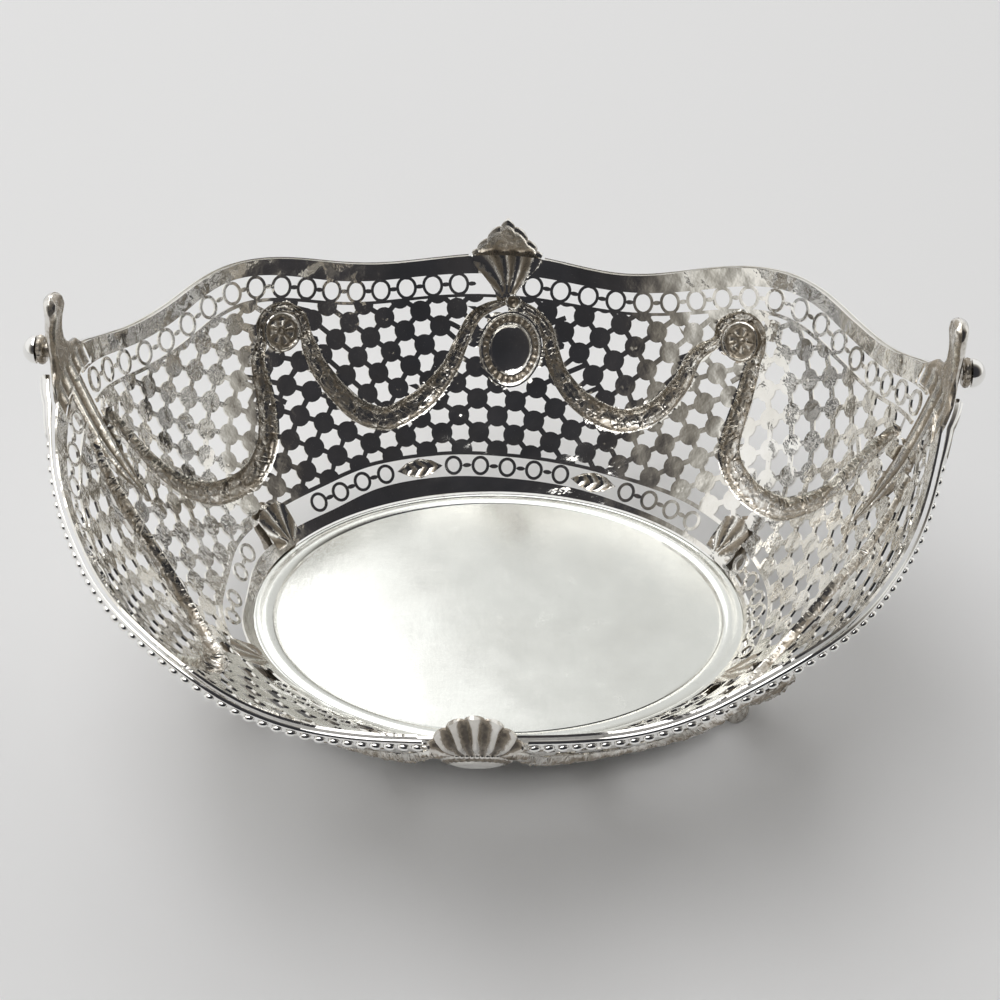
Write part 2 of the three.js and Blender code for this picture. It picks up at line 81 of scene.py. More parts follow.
# More levels where the bent bands at the foot and the rim are cut
FOOT_LEVELS = (0, 0.012, 0.03)
RIM_LEVELS = (0.945, 0.962, 0.975, 0.988, 1)
# How far the rings and their line rise or fall along the back half, at every 15 degrees from the right
# end. The front half mirrors it
HIGH_SHIFT = [-.008, -.004, .011, .011, -.022, -.008, -.018, -.004, -.014, .017, .006, .001, -.006]
LOW_SHIFT = [-.036, -.036, -.034, -.034, -.028, -.01, 0, .012, .01, -.013, -.006, -.003, -.022]

# Ring rows: half sizes of a ring, width of its band and half sizes of the beads between rings. From the
# middle of the long side, a side's first high ring, the step, and how much it grows past a count of rings
LOW_RING_LEVEL = 0.09
HIGH_RING_LEVEL = 0.876
RING_HALF = (4.4, 4.8)
LOW_RING_HALF = (3.7, 4.1)
RING_STROKE = 1.25
RING_DOME = 0.4
RING_BEAD_HALF = (1.8, 0.9)
HIGH_RINGS = {1: (8.5, 11.55, 0.9, 9), -1: (22.3, 11.05, 1.7, 9)}
# The low row's step, the leaf that breaks the row, the first ring and the step beyond it, and the room
# left free on either side of a foot
LOW_RING_STEP = 11.1
LEAF_PLACE = 36.3
LOW_RINGS_BEYOND = (50.8, 10.3)
FOOT_ROOM = 11.5

# Lattice of round discs joined by short slanting bars. Upper part, on each side: the first column from
# the middle of the long side, the step between columns, how far and over how many columns they draw in,
# and the step between rows. Its top row hangs this far below the line at every 15 degrees
DISC_RADIUS = 4.4
DISC_DOME = 0.5
DISC_LIFT = (0.3, 1.5)
DISC_TILT = 0.38
BAR_HALF = 1.05
BAR_REACH = 7
HIGH_COLUMNS = {1: (14.3, 8.32, 4.6, 20, 7.8), -1: (22.5, 8.13, 2.8, 16, 7.25)}
HIGH_DROP = [13, 13, 9.2, 7.7, 9.5, 4.8, 6.2, 6.5, 9.2, 7.8, 5.6, 9.2, 12]
# Lower part: first column on the right and on the left, the steps between columns and between rows, and
# how far its low row stands above the line
LOW_STARTS = {1: 2.35, -1: 4.7}
LOW_STEPS = (7.85, 7.0)
LOW_LIFT = [-5, -5, -5, -5, -4.4, -1.5, .6, .6, .4, -.4, -.6, -1, -3]
# Levels at which columns are spaced and at which rows are scaled, the rises at which each part ends, and
# how near the dish's ends the upper lattice and the high rings come, in degrees
HIGH_COLUMN_LEVEL = 0.70
HIGH_ROW_LEVEL = 0.6
HIGH_LAST_RISE = 0.14
LOW_COLUMN_LEVEL = 0.25
LOW_ROW_LEVEL = 0.3
LOW_LAST_RISE = 0.8
LATTICE_END = 3.2
RING_END = 4.6

# Garland from medallion to ear: its middle line as (degrees from the long axis, rise, half width) on the
# right half and on the left half, before and after its arch over the rosette. GARLAND_WIDTH widens it all
INNER_SWAG = {
    1: [(88.6, .772, 1.3), (85.7, .724, 2.0), (83.8, .663, 2.5), (82.8, .58, 2.8), (80.9, .48, 3.3),
        (76.9, .391, 4.0), (71.6, .337, 4.4), (66.3, .32, 4.5), (60.9, .371, 4.3),
        (58, .485, 3.7), (57.2, .6, 3.1)],
    -1: [(88.8, .775, 1.3), (85.8, .742, 2.0), (83.6, .697, 2.4), (81.3, .59, 2.8), (78.8, .478, 3.3),
         (74.6, .382, 4.0), (70.2, .331, 4.4), (64.7, .301, 4.5), (59.9, .341, 4.4),
         (57, .415, 4.0), (54.9, .512, 3.6), (54.3, .61, 3.1)],
}
OUTER_SWAG = {
    1: [(46.5, .62, 3.0), (45.4, .497, 3.6), (43.9, .36, 4.1), (41.9, .293, 4.4), (37.8, .251, 4.6),
        (30.6, .235, 4.6), (21.7, .266, 4.5), (17.3, .322, 4.3), (13.2, .404, 4.0), (10.6, .56, 3.4),
        (7.6, .7, 2.8), (6.2, .745, 2.5)],
    -1: [(44, .596, 3.0), (42, .443, 3.9), (38.7, .339, 4.3), (33.9, .282, 4.5), (27.2, .261, 4.6),
         (18.7, .289, 4.5), (12.8, .363, 4.1), (9, .471, 3.7), (6.8, .612, 3.2), (5, .72, 2.7),
         (4.2, .75, 2.4)],
}
GARLAND_DEPTH = 2.9
GARLAND_WIDTH = 1.12
GARLAND_STEP = 0.55
LEAF_PITCH = 9.6

# How finely half of the wall is cut: columns, the angle left out at its ends, rows of points along the
# garland, corners of a disc, a ring and a bead, the step of an ornament's ovals in mm, and the grid of the
# solid patches in radians and rise
WALL_COLUMNS = 620
WALL_END = 0.001
GARLAND_ROWS = 17
DISC_SIDES = 20
RING_SIDES = 24
RING_BEAD_SIDES = 12
OVAL_STEP = 0.6
PATCH_CELL = (0.006, 0.009)

# Shares of an ornament's half sizes up to this are on it, its outline too
OUTLINE = 1.001

# Round ornaments: degrees, rise and half sizes. The garland's arch over a rosette has a half width, laps
# over the rosette's edge and runs between two turns
MEDALLION = (90.1, 0.564, 13.0, 15.6)
MEDALLION_CUPS = 26
MEDALLION_DEPTH = 3.0
BOSS_UP = 19.9
BOSS_RADIUS = 3.1
ROSETTE = (50.4, 0.687, 8.1)
ROSETTE_PETALS = 7
ROSETTE_DEPTH = 1.8
ROSETTE_ARCH = 2.1
ROSETTE_OVERLAP = 0.4
ROSETTE_TURNS = (-8, 188)

# Ears, as in the part
EAR_HALF_ANGLE = 7.5
EAR_STEM_ANGLE = 3
EAR_LOW_RISE = 0.7405
EAR_THICKNESS = 3.9
EAR_EDGE_THICKNESS = 1.2
EAR_TAB_RADIUS = 6.5
EAR_NECK = 5.5
EAR_BOW = 0.19
EAR_SWELL = 0.8
EAR_TAB_FALL = 2.2
EAR_FOLD = 0.75
ENDS = {
    "right": {"angle": 0.0, "height": 26.4, "lean": -0.4, "plate": 0.3, "strap": 1.0},
    "left": {"angle": math.pi, "height": 28.2, "lean": 1.2, "plate": 1.45, "strap": 2.6},
}

# Buttons, as in the part
BUTTON_RADIUS = 5.1
BUTTON_HEIGHT = 121
BUTTON_PLATE_THICKNESS = 2.4
BUTTON_SHANK_RADIUS = 2.6

# Border, as in the part
BEAD_OUT = 0.8
BEAD_DOWN = 2.5
BEAD_RADIUS = 1.15
BEAD_PITCH = 4.54
BEAD_HALF_LENGTH = 1.95
PLAIN_END = 31
BORDER_START = 6.5
STRAP_STANDOFF = 0.35

# Crests, as in the part
CRESTS = {
    "back": {"degrees": 91, "height": 14.4, "fullness": 1.3},
    "front": {"degrees": 270.5, "height": 15.6, "fullness": 2.2},
}
CREST_HALF_WIDTH = 15
CREST_SKIRT = 11
CREST_THICKNESS = 2.2
CREST_LEAN = 2
CREST_STANDOFF = 1.2
CREST_LOBES = 7
CREST_FOOT_SPREAD = 0.45
# Beads across a crest's skirt: how many, how far to either side and how far below the rim
CREST_BEADS = 9
CREST_BEAD_REACH = 6.2
CREST_BEAD_DROP = 9.2

# Feet, as in the part, and the solid ground in the wall behind each
FOOT_ANGLE = 27
FOOT_GROUND_ANGLE = 28
FOOT_HEIGHT = 14
FOOT_LEAF_HEIGHT = 16
FOOT_HALF_WIDTH = 6.5

# Light: the world's level, and soft lamps as (name, kind, place in metres, width or angle, power)
WORLD_STRENGTH = 0.92
LAMPS = [("sky", "SUN", (-0.25, 0.0, 1.0), 0.8, 1.0), ("key", "AREA", (-0.5, 0.8, 1.3), 0.8, 3.5)]


def full_turn(sides):
    """Equal turns all the way round."""
    return np.arange(sides) * TAU / sides


def smooth(x, low, high):
    """0 up to low, 1 from high on, and a smooth step between them."""
    t = np.clip((x - low) / (high - low), 0, 1)
    return t * t * (3 - 2 * t)


def bump(x, width):
    """A rounded hill, 1 high at 0."""
    return np.exp(-(x / width) ** 2)


def unit(vectors):
    return vectors / np.linalg.norm(vectors, axis=-1, keepdims=True)


# Surfaces of the dish. Every function takes numbers or arrays and returns points as rows
def base_edge(angle):
    """The foot of the wall's inner face."""
    angle = np.asarray(angle, float)
    return np.stack([BASE_HALF_LENGTH * np.cos(angle), BASE_HALF_WIDTH * np.sin(angle),
                     np.full_like(angle, WALL_FOOT)], -1)


def curve_between(before, here, after, beyond, share):
    """A smooth curve through four values in a row, at a share of the way between the middle two."""
    slope_in = (after - before) / 2
    slope_out = (beyond - here) / 2
    bend = 3 * (after - here) - 2 * slope_in - slope_out
    twist = slope_in + slope_out - 2 * (after - here)
    return here + share * (slope_in + share * (bend + share * twist))


def ring_value(values, angle):
    """A smooth value between the values of a closed ring of equal steps."""
    values = np.array(values, float)
    steps = np.mod(angle / TAU, 1) * len(values)
    start = np.floor(steps).astype(int)
    around = [values[(start + k) % len(values)] for k in (-1, 0, 1, 2)]
    return curve_between(*around, steps - start)


def half_value(values, angle):
    """The same for values given on the back half from end to end, and mirrored in front."""
    return ring_value([*values, *values[-2:0:-1]], np.asarray(angle, float))


def rim_edge(angle):
    """The rim of the wall's inner face."""
    angle = np.asarray(angle, float)
    share = 1 + ring_value(RIM_PUSH, angle) / ((RIM_HALF_LENGTH + RIM_HALF_WIDTH) / 2)
    height = RIM_MEAN_HEIGHT + sum(size * np.cos(waves * angle) for waves, size in HEIGHT_WAVES)
    return np.stack([RIM_HALF_LENGTH * share * np.cos(angle), RIM_HALF_WIDTH * share * np.sin(angle),
                     height], -1)


def inner_point(angle, rise):
    """The wall's inner face, which bulges outwards between foot and rim."""
    angle, rise = np.broadcast_arrays(np.asarray(angle, float), np.asarray(rise, float))
    low = base_edge(angle)
    high = rim_edge(angle)
    swell = (SIDE_SWELL + END_SWELL) / 2 + (END_SWELL - SIDE_SWELL) / 2 * np.cos(2 * angle)
    spread = rise + swell * np.sin(np.pi * rise)
    point = low + (high - low) * spread[..., None]
    point[..., 2] = low[..., 2] + (high[..., 2] - low[..., 2]) * rise
    return point


def slopes(angle, rise):
    """How the wall's surface runs along the angle and up the rise, per radian and per unit."""
    small = 1e-4
    along = (inner_point(angle + small, rise) - inner_point(angle - small, rise)) / (2 * small)
    up = (inner_point(angle, rise + small) - inner_point(angle, rise - small)) / (2 * small)
    return along, up


def wall_point(angle, rise, depth=0.0):
    along, up = slopes(angle, rise)
    return inner_point(angle, rise) + unit(np.cross(along, up)) * np.asarray(depth)[..., None]


def outward(curve, angle):
    """The level direction away from the dish, square to a curve round it."""
    small = 1e-3
    along = curve(angle + small) - curve(angle - small)
    return unit(np.stack([along[..., 1], -along[..., 0], 0 * along[..., 0]], -1))


def run_per_radian(curve, angle):
    """How many millimetres of a curve there are to a radian."""
    small = 1e-3
    return np.linalg.norm(curve(angle + small) - curve(angle - small)) / (2 * small)


def run_lengths(spots):
    """The length along a line of points, from its start to each of them."""
    return np.concatenate([[0], np.cumsum(np.linalg.norm(np.diff(spots, axis=0), axis=1))])


def local_scale(angle, rise):
    """Millimetres along the row per radian, and along and across the row per unit of rise."""
    along, up = slopes(angle, rise)
    length = np.linalg.norm(along, axis=-1)
    lean = np.sum(up * along, -1) / length
    across = np.linalg.norm(np.cross(along, up), axis=-1) / length
    return length, lean, across


def offset(angle, rise, dx, dy):
    """The place on the wall dx mm along the row and dy mm up the sheet from another."""
    length, lean, across = local_scale(angle, rise)
    step = dy / across
    return angle + (dx - step * lean) / length, rise + step


def on_sheet(angle, rise, angle_step, rise_step):
    """Millimetres along the row and up the sheet of a step from a place."""
    length, lean, across = local_scale(angle, rise)
    return np.stack([length * angle_step + lean * rise_step, across * rise_step], -1)


def rim_reach(angle, depth):
    """How far a depth through the rim reaches out past the rim's inner edge."""
    away = outward(rim_edge, angle)
    return np.sum((wall_point(angle, np.ones_like(angle), depth) - rim_edge(angle)) * away, -1)


def level_shift(angle, level):
    """How far a level of the pattern lies above or below its own rise."""
    high = smooth(level, 0.5, HIGH_LINE[1]) * (1 - smooth(level, RIM_BAND, 1))
    low = smooth(level, 0, FOOT_BAND) * (1 - smooth(level, LOW_LINE[1], 0.5))
    return half_value(HIGH_SHIFT, angle) * high + half_value(LOW_SHIFT, angle) * low


def at_level(angle, level):
    """The rise of a level of the pattern, which wavers a little along the wall."""
    return level + level_shift(angle, np.asarray(level, float))


def level_of(angle, rise):
    """The level that at_level puts at this rise."""
    level = rise
    for _ in range(3):
        level = rise - level_shift(angle, level)
    return level


def place(side, degrees):
    """The angle on the back half, right (1) or left (-1), of degrees counted from the long axis."""
    turn = math.radians(degrees)
    return turn if side > 0 else math.pi - turn


class Walk:
    """Lengths along a level of the wall, from the middle of the long side to one end."""

    def __init__(self, side, level):
        self.turns = np.linspace(math.pi / 2, place(side, 0), 900)
        rises = at_level(self.turns, np.full_like(self.turns, level))
        self.lengths = run_lengths(inner_point(self.turns, rises))
        self.total = float(self.lengths[-1])

    def angle(self, length):
        return float(np.interp(length, self.lengths, self.turns))

    def length(self, angle):
        order = np.argsort(self.turns)
        return float(np.interp(angle, self.turns[order], self.lengths[order]))


# Meshes
def add_object(name, data):
    obj = bpy.data.objects.new(name, data)
    bpy.context.scene.collection.objects.link(obj)
    return obj


def make_object(name, points, faces, material, node, tarnish, sharp=38):
    """A piece with its tarnish marks, shaded smooth but for edges sharper than sharp degrees."""
    mesh = bpy.data.meshes.new(name)
    mesh.from_pydata((np.asarray(points) * MM).tolist(), [], [tuple(f) for f in faces])
    mesh.validate()
    mesh.update()
    layer = mesh.attributes.new("tarnish", "FLOAT", "POINT")
    layer.data.foreach_set("value", np.asarray(tarnish, np.float32))
    mesh.shade_smooth()
    mesh.set_sharp_from_angle(angle=math.radians(sharp))
    mesh.materials.append(material)
    obj = add_object(name, mesh)
    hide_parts(node)
    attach(obj, "root")


def quads(grid):
    """Four-cornered faces between neighbours in a grid of point numbers."""
    return np.stack([grid[:-1, :-1], grid[:-1, 1:], grid[1:, 1:], grid[1:, :-1]], -1).reshape(-1, 4)


class Build:
    """Points and faces of one piece, gathered from bars, turned forms and balls."""

    def __init__(self):
        self.points = []
        self.faces = []
        self.tarnish = []

    def add(self, points, faces, tarnish=0.3):
        start = len(self.points)
        points = np.asarray(points, float).reshape(-1, 3)
        self.points.extend(points.tolist())
        self.faces.extend([tuple(start + k for k in face) for face in faces])
        values = np.broadcast_to(np.asarray(tarnish, float).reshape(-1), (len(points),))
        self.tarnish.extend(values.tolist())

    def bar(self, sections, closed=False, tarnish=0.3):
        """A bar through rows of section loops, capped at its ends unless it closes on itself."""
        sections = np.asarray(sections, float)
        rows, sides = sections.shape[:2]
        faces = []
        for j in range(rows if closed else rows - 1):
            far = (j + 1) % rows
            for i in range(sides):
                k = (i + 1) % sides
                faces.append((j * sides + i, far * sides + i, far * sides + k, j * sides + k))
        if not closed:
            faces.append(tuple(range(sides)))
            faces.append(tuple((rows - 1) * sides + i for i in reversed(range(sides))))
        self.add(sections, faces, tarnish)

    def turned(self, profile, frame_of, sides=40, tarnish=0.3):
        """A turned form: (radius, height) points swept round an axis, mapped by frame_of(x, y, height)."""
        turn = full_turn(sides)
        self.bar([frame_of(r * np.cos(turn), r * np.sin(turn), np.full_like(turn, h)) for r, h in profile],
                 tarnish=tarnish)

    def ball(self, centre, axes, half, sides=10, rings=7, tarnish=0.3):
        """A ball squashed to three half sizes along three axes."""
        turn = full_turn(sides)
        rows = []
        for tilt in np.linspace(-0.94, 0.94, rings) * math.pi / 2:
            wide, high = math.cos(tilt), np.full_like(turn, math.sin(tilt))
            local = np.stack([high, wide * np.cos(turn), wide * np.sin(turn)], -1)
            rows.append(centre + local * half @ np.array(axes))
        self.bar(rows, tarnish=tarnish)

    def make(self, name, material, node, sharp=38):
        make_object(name, self.points, self.faces, material, node, self.tarnish, sharp)


# Materials
def node_tree(name):
    """A new material with its tree and its shader."""
    material = bpy.data.materials.new(name)
    material.use_nodes = True
    tree = material.node_tree
    return material, tree, tree.nodes["Principled BSDF"]


def feed(tree, node, inputs):
    """Sets inputs of a node: a socket is linked to, a colour or a number becomes the value."""
    for name, value in inputs.items():
        socket = node.inputs[name]
        if isinstance(value, bpy.types.NodeSocket):
            tree.links.new(value, socket)
        else:
            socket.default_value = (*value, 1) if socket.type == "RGBA" else value


def add_node(tree, kind, output, inputs, **settings):
    """One output of a new node."""
    node = tree.nodes.new("ShaderNode" + kind)
    for name, value in settings.items():
        setattr(node, name, value)
    feed(tree, node, inputs)
    return node.outputs[output]


def noise(tree, scale, detail, stretch=None):
    """A noise in the part's own frame, with scale in waves per metre."""
    spot = add_node(tree, "TexCoord", "Object", {})
    if stretch:
        spot = add_node(tree, "Mapping", "Vector", {"Vector": spot, "Scale": stretch})
    inputs = {"Vector": spot, "Scale": scale, "Detail": detail, "Roughness": 0.55}
    return add_node(tree, "TexNoise", "Fac", inputs)


def ramp(tree, value, stops):
    """A ramp from value: stops are (place, colour) with a colour or a grey number."""
    node = tree.nodes.new("ShaderNodeValToRGB")
    elements = node.color_ramp.elements
    while len(elements) < len(stops):
        elements.new(0.5)
    for element, (position, colour) in zip(elements, stops):
        element.position = position
        colour = colour if isinstance(colour, tuple) else (colour,) * 3
        element.color = (*colour, 1)
    tree.links.new(value, node.inputs["Fac"])
    return node.outputs["Color"]


def mix(tree, share, first, second):
    """Second over first by share. Each is a socket or a colour."""
    inputs = {"Factor": share, "A": first, "B": second}
    return add_node(tree, "Mix", "Result", inputs, data_type="RGBA")


def maths(tree, operation, first, second):
    return add_node(tree, "Math", "Value", {0: first, 1: second}, operation=operation)


def bumps(tree, layers):
    """Normals from layers of (height socket, distance in mm, strength), each over the one before."""
    below = {}
    for height, distance, strength in layers:
        inputs = {"Height": height, "Distance": distance * MM, "Strength": strength, **below}
        below = {"Normal": add_node(tree, "Bump", "Normal", inputs)}
    return below["Normal"]


def silver(name, clean, dull, roughness, wave, grain):
    """Silver with cloudy wear, brown where the mesh's tarnish mark is high and near black in its depths. On
    the wall's ends the mark also holds a painted reflection.
    """
    material, tree, shader = node_tree(name)
    cloud = noise(tree, 60, 5)
    mark = add_node(tree, "Attribute", "Fac", {}, attribute_name="tarnish")
    body = mix(tree, ramp(tree, cloud, [(0.35, 0.0), (0.68, 1.0)]), clean, dull)
    fine = maths(tree, "MULTIPLY", maths(tree, "SUBTRACT", noise(tree, 520, 4), 0.5), 0.7)
    coarse = maths(tree, "MULTIPLY", maths(tree, "SUBTRACT", cloud, 0.5), 0.5)
    patch = maths(tree, "ADD", maths(tree, "ADD", mark, fine), coarse)
    brown = mix(tree, ramp(tree, patch, [(0.32, 0.0), (0.62, 1.0)]), body, TARNISH)
    deep = mix(tree, ramp(tree, patch, [(0.72, 0.0), (1.0, 1.0)]), brown, TARNISH_DEEP)
    rough = ramp(tree, noise(tree, 130, 4), [(0.3, roughness[0]), (0.75, roughness[1])])
    dirt = maths(tree, "MULTIPLY", ramp(tree, patch, [(0.4, 0.0), (0.9, 1.0)]), 0.24)
    metallic = ramp(tree, patch, [(0.40, 1.0), (0.62, 0.45)])
    layers = [(noise(tree, 85, 1), 1.0, wave), (noise(tree, 260, 2), 0.3, wave * 0.5),
              (noise(tree, 900, 3), 0.1, grain)]
    feed(tree, shader, {"Base Color": deep, "Roughness": maths(tree, "ADD", rough, dirt),
                        "Metallic": metallic, "Normal": bumps(tree, layers)})
    return material


def floor_silver():
    """The floor of the dish: worn satin silver with fine scratches in all directions and a few pits."""
    material, tree, shader = node_tree("silver_floor")
    cloud = ramp(tree, noise(tree, 28, 5), [(0.35, 0.0), (0.7, 1.0)])
    body = mix(tree, cloud, (0.70, 0.71, 0.68), (0.64, 0.645, 0.615))
    specks = ramp(tree, noise(tree, 700, 2), [(0.70, 0.0), (0.78, 0.6)])
    colour = mix(tree, specks, body, (0.42, 0.40, 0.36))
    scratches = None
    for stretch in ((1, 24, 1), (22, 1, 1), (14, 16, 1)):
        line = ramp(tree, noise(tree, 55, 3, stretch), [(0.47, 0.0), (0.5, 1.0), (0.53, 0.0)])
        scratches = maths(tree, "MAXIMUM", scratches, line) if scratches else line
    rough = ramp(tree, noise(tree, 80, 5), [(0.3, 0.13), (0.75, 0.22)])
    rough = maths(tree, "ADD", rough, maths(tree, "MULTIPLY", scratches, 0.08))
    normal = bumps(tree, [(noise(tree, 24, 1), 1.0, 0.25), (scratches, 0.04, 0.08)])
    feed(tree, shader, {"Base Color": colour, "Metallic": 1.0, "Roughness": rough, "Normal": normal})
    return material


TARNISH = (0.34, 0.29, 0.225)
TARNISH_DEEP = (0.10, 0.082, 0.062)
pierced = silver("silver_pierced", (0.93, 0.915, 0.88), (0.80, 0.775, 0.72), (0.04, 0.12), 0.8, 0.08)
bright = silver("silver_bright", (0.94, 0.935, 0.92), (0.86, 0.85, 0.82), (0.04, 0.10), 0.2, 0.05)
cast = silver("silver_cast", (0.86, 0.84, 0.80), (0.62, 0.59, 0.54), (0.10, 0.22), 0.6, 0.3)
worn = floor_silver()


# The garland's middle line on one half of the wall
def spline(points, steps=24):
    """A smooth line through points, as rows of the same numbers."""
    points = np.array(points, float)
    padded = np.vstack([2 * points[0] - points[1], points, 2 * points[-1] - points[-2]])
    shares = (np.arange(steps) / steps)[:, None]
    spans = [curve_between(*padded[k:k + 4], shares) for k in range(len(points) - 1)]
    return np.vstack([*spans, points[-1]])


def arch(side):
    """Points of the garland over a rosette. Turns go from the long side over the top."""
    degrees, rise, radius = ROSETTE
    radius = radius + ROSETTE_ARCH - ROSETTE_OVERLAP
    rows = []
    for turn in np.radians(np.linspace(*ROSETTE_TURNS, 6)):
        over = offset(place(side, degrees), rise, side * radius * math.cos(turn), radius * math.sin(turn))
        rows.append((*over, ROSETTE_ARCH))
    return rows


def garland(side):
    """The garland's middle line on one half, at equal steps: angle, rise, half width and length."""
    rows = [(place(side, d), r, w) for d, r, w in INNER_SWAG[side]]
    rows += arch(side)
    rows += [(place(side, d), r, w) for d, r, w in OUTER_SWAG[side]]
    fine = spline(rows)
    lengths = run_lengths(inner_point(fine[:, 0], fine[:, 1]))
    steps = np.arange(0, lengths[-1], GARLAND_STEP)
    rows = [np.interp(steps, lengths, fine[:, k]) for k in range(3)]
    return np.stack([rows[0], rows[1], rows[2] * GARLAND_WIDTH, steps], -1)


# The wall: every outline is drawn flat, cut into triangles, and what is open is left out
class Drawing:
    """Outlines on half of the wall as (angle, rise), with loose points where the relief needs them."""

    # Millimetres to a radian and to the whole rise, roughly, so that the triangles keep their form
    FLAT = np.array([125.0, 110.0])

    def __init__(self):
        self.points = []
        self.edges = []

    def line(self, angle, rise, closed=False):
        start = len(self.points)
        count = len(angle)
        self.points.extend(np.stack([angle, rise], -1).tolist())
        self.edges.extend((start + k, start + k + 1) for k in range(count - 1))
        if closed:
            self.edges.append((start + count - 1, start))

    def dots(self, angle, rise):
        self.points.extend(np.stack([np.ravel(angle), np.ravel(rise)], -1).tolist())

    def oval(self, angle, rise, half, sides):
        turn = (np.arange(sides) + 0.5) * TAU / sides
        self.line(*offset(angle, rise, half[0] * np.cos(turn), half[1] * np.sin(turn)), True)

    def triangles(self, low, high):
        """Cuts the strip between two angles and between rise 0 and 1 into triangles."""
        points = np.array(self.points)
        flat = points * self.FLAT
        verts, _, faces, *_ = delaunay_2d_cdt([Vector(p) for p in flat], self.edges, [], 0, 1e-4, False)
        found = np.array([tuple(v) for v in verts]) / self.FLAT
        faces = np.array([f for f in faces if len(f) == 3])
        middle = found[faces].mean(1)
        inside = (middle[:, 0] > low) & (middle[:, 0] < high) & (middle[:, 1] > 0) & (middle[:, 1] < 1)
        return found, faces[inside]


class Wall:
    """Half of the wall, drawn once for the back and mirrored for the front."""

    def __init__(self):
        self.low = WALL_END
        self.high = math.pi - WALL_END
        self.drawing = Drawing()
        self.garlands = {side: garland(side) for side in (1, -1)}
        # Places as angle and rise, bars as pairs of places, rings and ovals with their half sizes
        self.discs = []
        self.bars = []
        self.rings = []
        self.ring_beads = []
        medallion = (place(1, MEDALLION[0]), MEDALLION[1])
        self.boss = offset(*medallion, 0, BOSS_UP)
        self.ovals = [(*medallion, MEDALLION[2:]), (*self.boss, (BOSS_RADIUS,) * 2)]
        for side in (1, -1):
            self.ovals.append((place(side, ROSETTE[0]), ROSETTE[1], (ROSETTE[2],) * 2))
        self.leaf_places = {side: Walk(side, LOW_RING_LEVEL).angle(LEAF_PLACE) for side in (1, -1)}
        self.patches = self.solid_patches()
        self.place_rings()
        self.place_high_lattice()
        self.place_low_lattice()
        self.draw()

    def solid_patches(self):
        """Solid leaves and grounds: under the crest, in the low ring row, below the ears, at the feet."""

        def shape(angle, rise, corners):
            return np.stack(offset(angle, rise, *np.array(corners, float).T), -1)

        leaf = [(-9.5, 0), (-5, 2.8), (0, 4.0), (5, 2.8), (9.5, 0), (5, -2.8), (0, -4.2), (-5, -2.8)]
        half_apron = [(15, 14), (13, 7), (9, 2), (6.5, -1.5), (4.4, -5), (3.3, -9)]
        apron = [(-x, y) for x, y in half_apron] + half_apron[::-1]
        ground = [(-7, -8), (7, -8), (7, 6), (4.5, 8.5), (0, 9.5), (-4.5, 8.5), (-7, 6)]
        fall = [(3.4, 0.745), (3.3, 0.70), (2.9, 0.64), (2.3, 0.57), (1.5, 0.50), (0.8, 0.455), (0, 0.44),
                (0, 0.745)]
        patches = {"apron": shape(math.radians(CRESTS["back"]["degrees"]), HIGH_RING_LEVEL, apron)}
        for side in (1, -1):
            middle = self.leaf_places[side]
            patches["leaf", side] = shape(middle, at_level(middle, LOW_RING_LEVEL), leaf)
            patches["fall", side] = np.array([(place(side, d), rise) for d, rise in fall])
        for side in (1, -1):
            patches["ground", side] = shape(place(side, FOOT_GROUND_ANGLE), 0.08, ground)
        return patches

    def place_rings(self):
        """Both ring rows. The low one leaves room for its leaf and for the foot."""
        for side in (1, -1):
            first, step, growth, even = HIGH_RINGS[side]
            walk = Walk(side, HIGH_RING_LEVEL)
            lengths = [first + step * k + growth * max(0, k - even) for k in range(30)]
            lengths = [v for v in lengths if v < walk.length(place(side, RING_END))]
            self.ring_row(walk, lengths, HIGH_RING_LEVEL, RING_HALF, [first - step / 2])
            walk = Walk(side, LOW_RING_LEVEL)
            foot = walk.length(place(side, FOOT_GROUND_ANGLE))
            lengths = [k * LOW_RING_STEP for k in range(0 if side > 0 else 1, 3)]
            beyond = np.arange(LOW_RINGS_BEYOND[0], walk.total + 1, LOW_RINGS_BEYOND[1])
            lengths += [v for v in beyond if abs(v - foot) > FOOT_ROOM]
            self.ring_row(walk, lengths, LOW_RING_LEVEL, LOW_RING_HALF, [LOW_RING_STEP / 2])

    def ring_row(self, walk, lengths, level, half, more):
        """Rings at lengths along a row, with a bead between neighbours and at the lengths in more."""
        for length in lengths:
            angle = walk.angle(length)
            self.rings.append((angle, float(at_level(angle, level)), half))
        between = [(a + b) / 2 for a, b in zip(lengths, lengths[1:]) if 8 < b - a < 14]
        for length in between + more:
            angle = walk.angle(length)
            self.ring_beads.append((angle, float(at_level(angle, level))))

    def under_swag(self, side, angle, rise):
        """Whether a place lies inside the bend of a swag, above its lowest part."""
        rows = self.garlands[side]
        degrees = np.degrees(rows[:, 0] if side > 0 else math.pi - rows[:, 0])
        own = math.degrees(angle if side > 0 else math.pi - angle)
        inner = own > ROSETTE[0]
        near = (degrees > ROSETTE[0]) if inner else (degrees <= ROSETTE[0])
        bend_rows = rows[near]
        bend_degrees = degrees[near]
        at_height = bend_rows[np.argmin(np.abs(bend_rows[:, 1] - rise))]
        lowest = bend_degrees[np.argmin(bend_rows[:, 1])]
        crossing = bend_degrees[np.abs(bend_rows[:, 1] - rise) < 0.02]
        if rise > 0.8 or len(crossing) == 0:
            return rise > at_height[1]
        left = crossing[crossing > lowest]
        right = crossing[crossing <= lowest]
        inside_left = own < left.min() if len(left) else True
        inside_right = own > right.max() if len(right) else True
        return inside_left and inside_right

    def keep(self, centres, above):
        """Keeps the discs on one side of the garland, with the bars that reach them."""
        kept = {key for key, (side, a, r) in centres.items() if self.under_swag(side, a, r) == above}
        self.discs += [centres[key][1:] for key in kept]
        for key in centres:
            for step in (-1, 1):
                other = (key[0] + step, key[1] + 1)
                if other in centres and (key in kept or other in kept):
                    self.bars.append((centres[key][1:], centres[other][1:]))

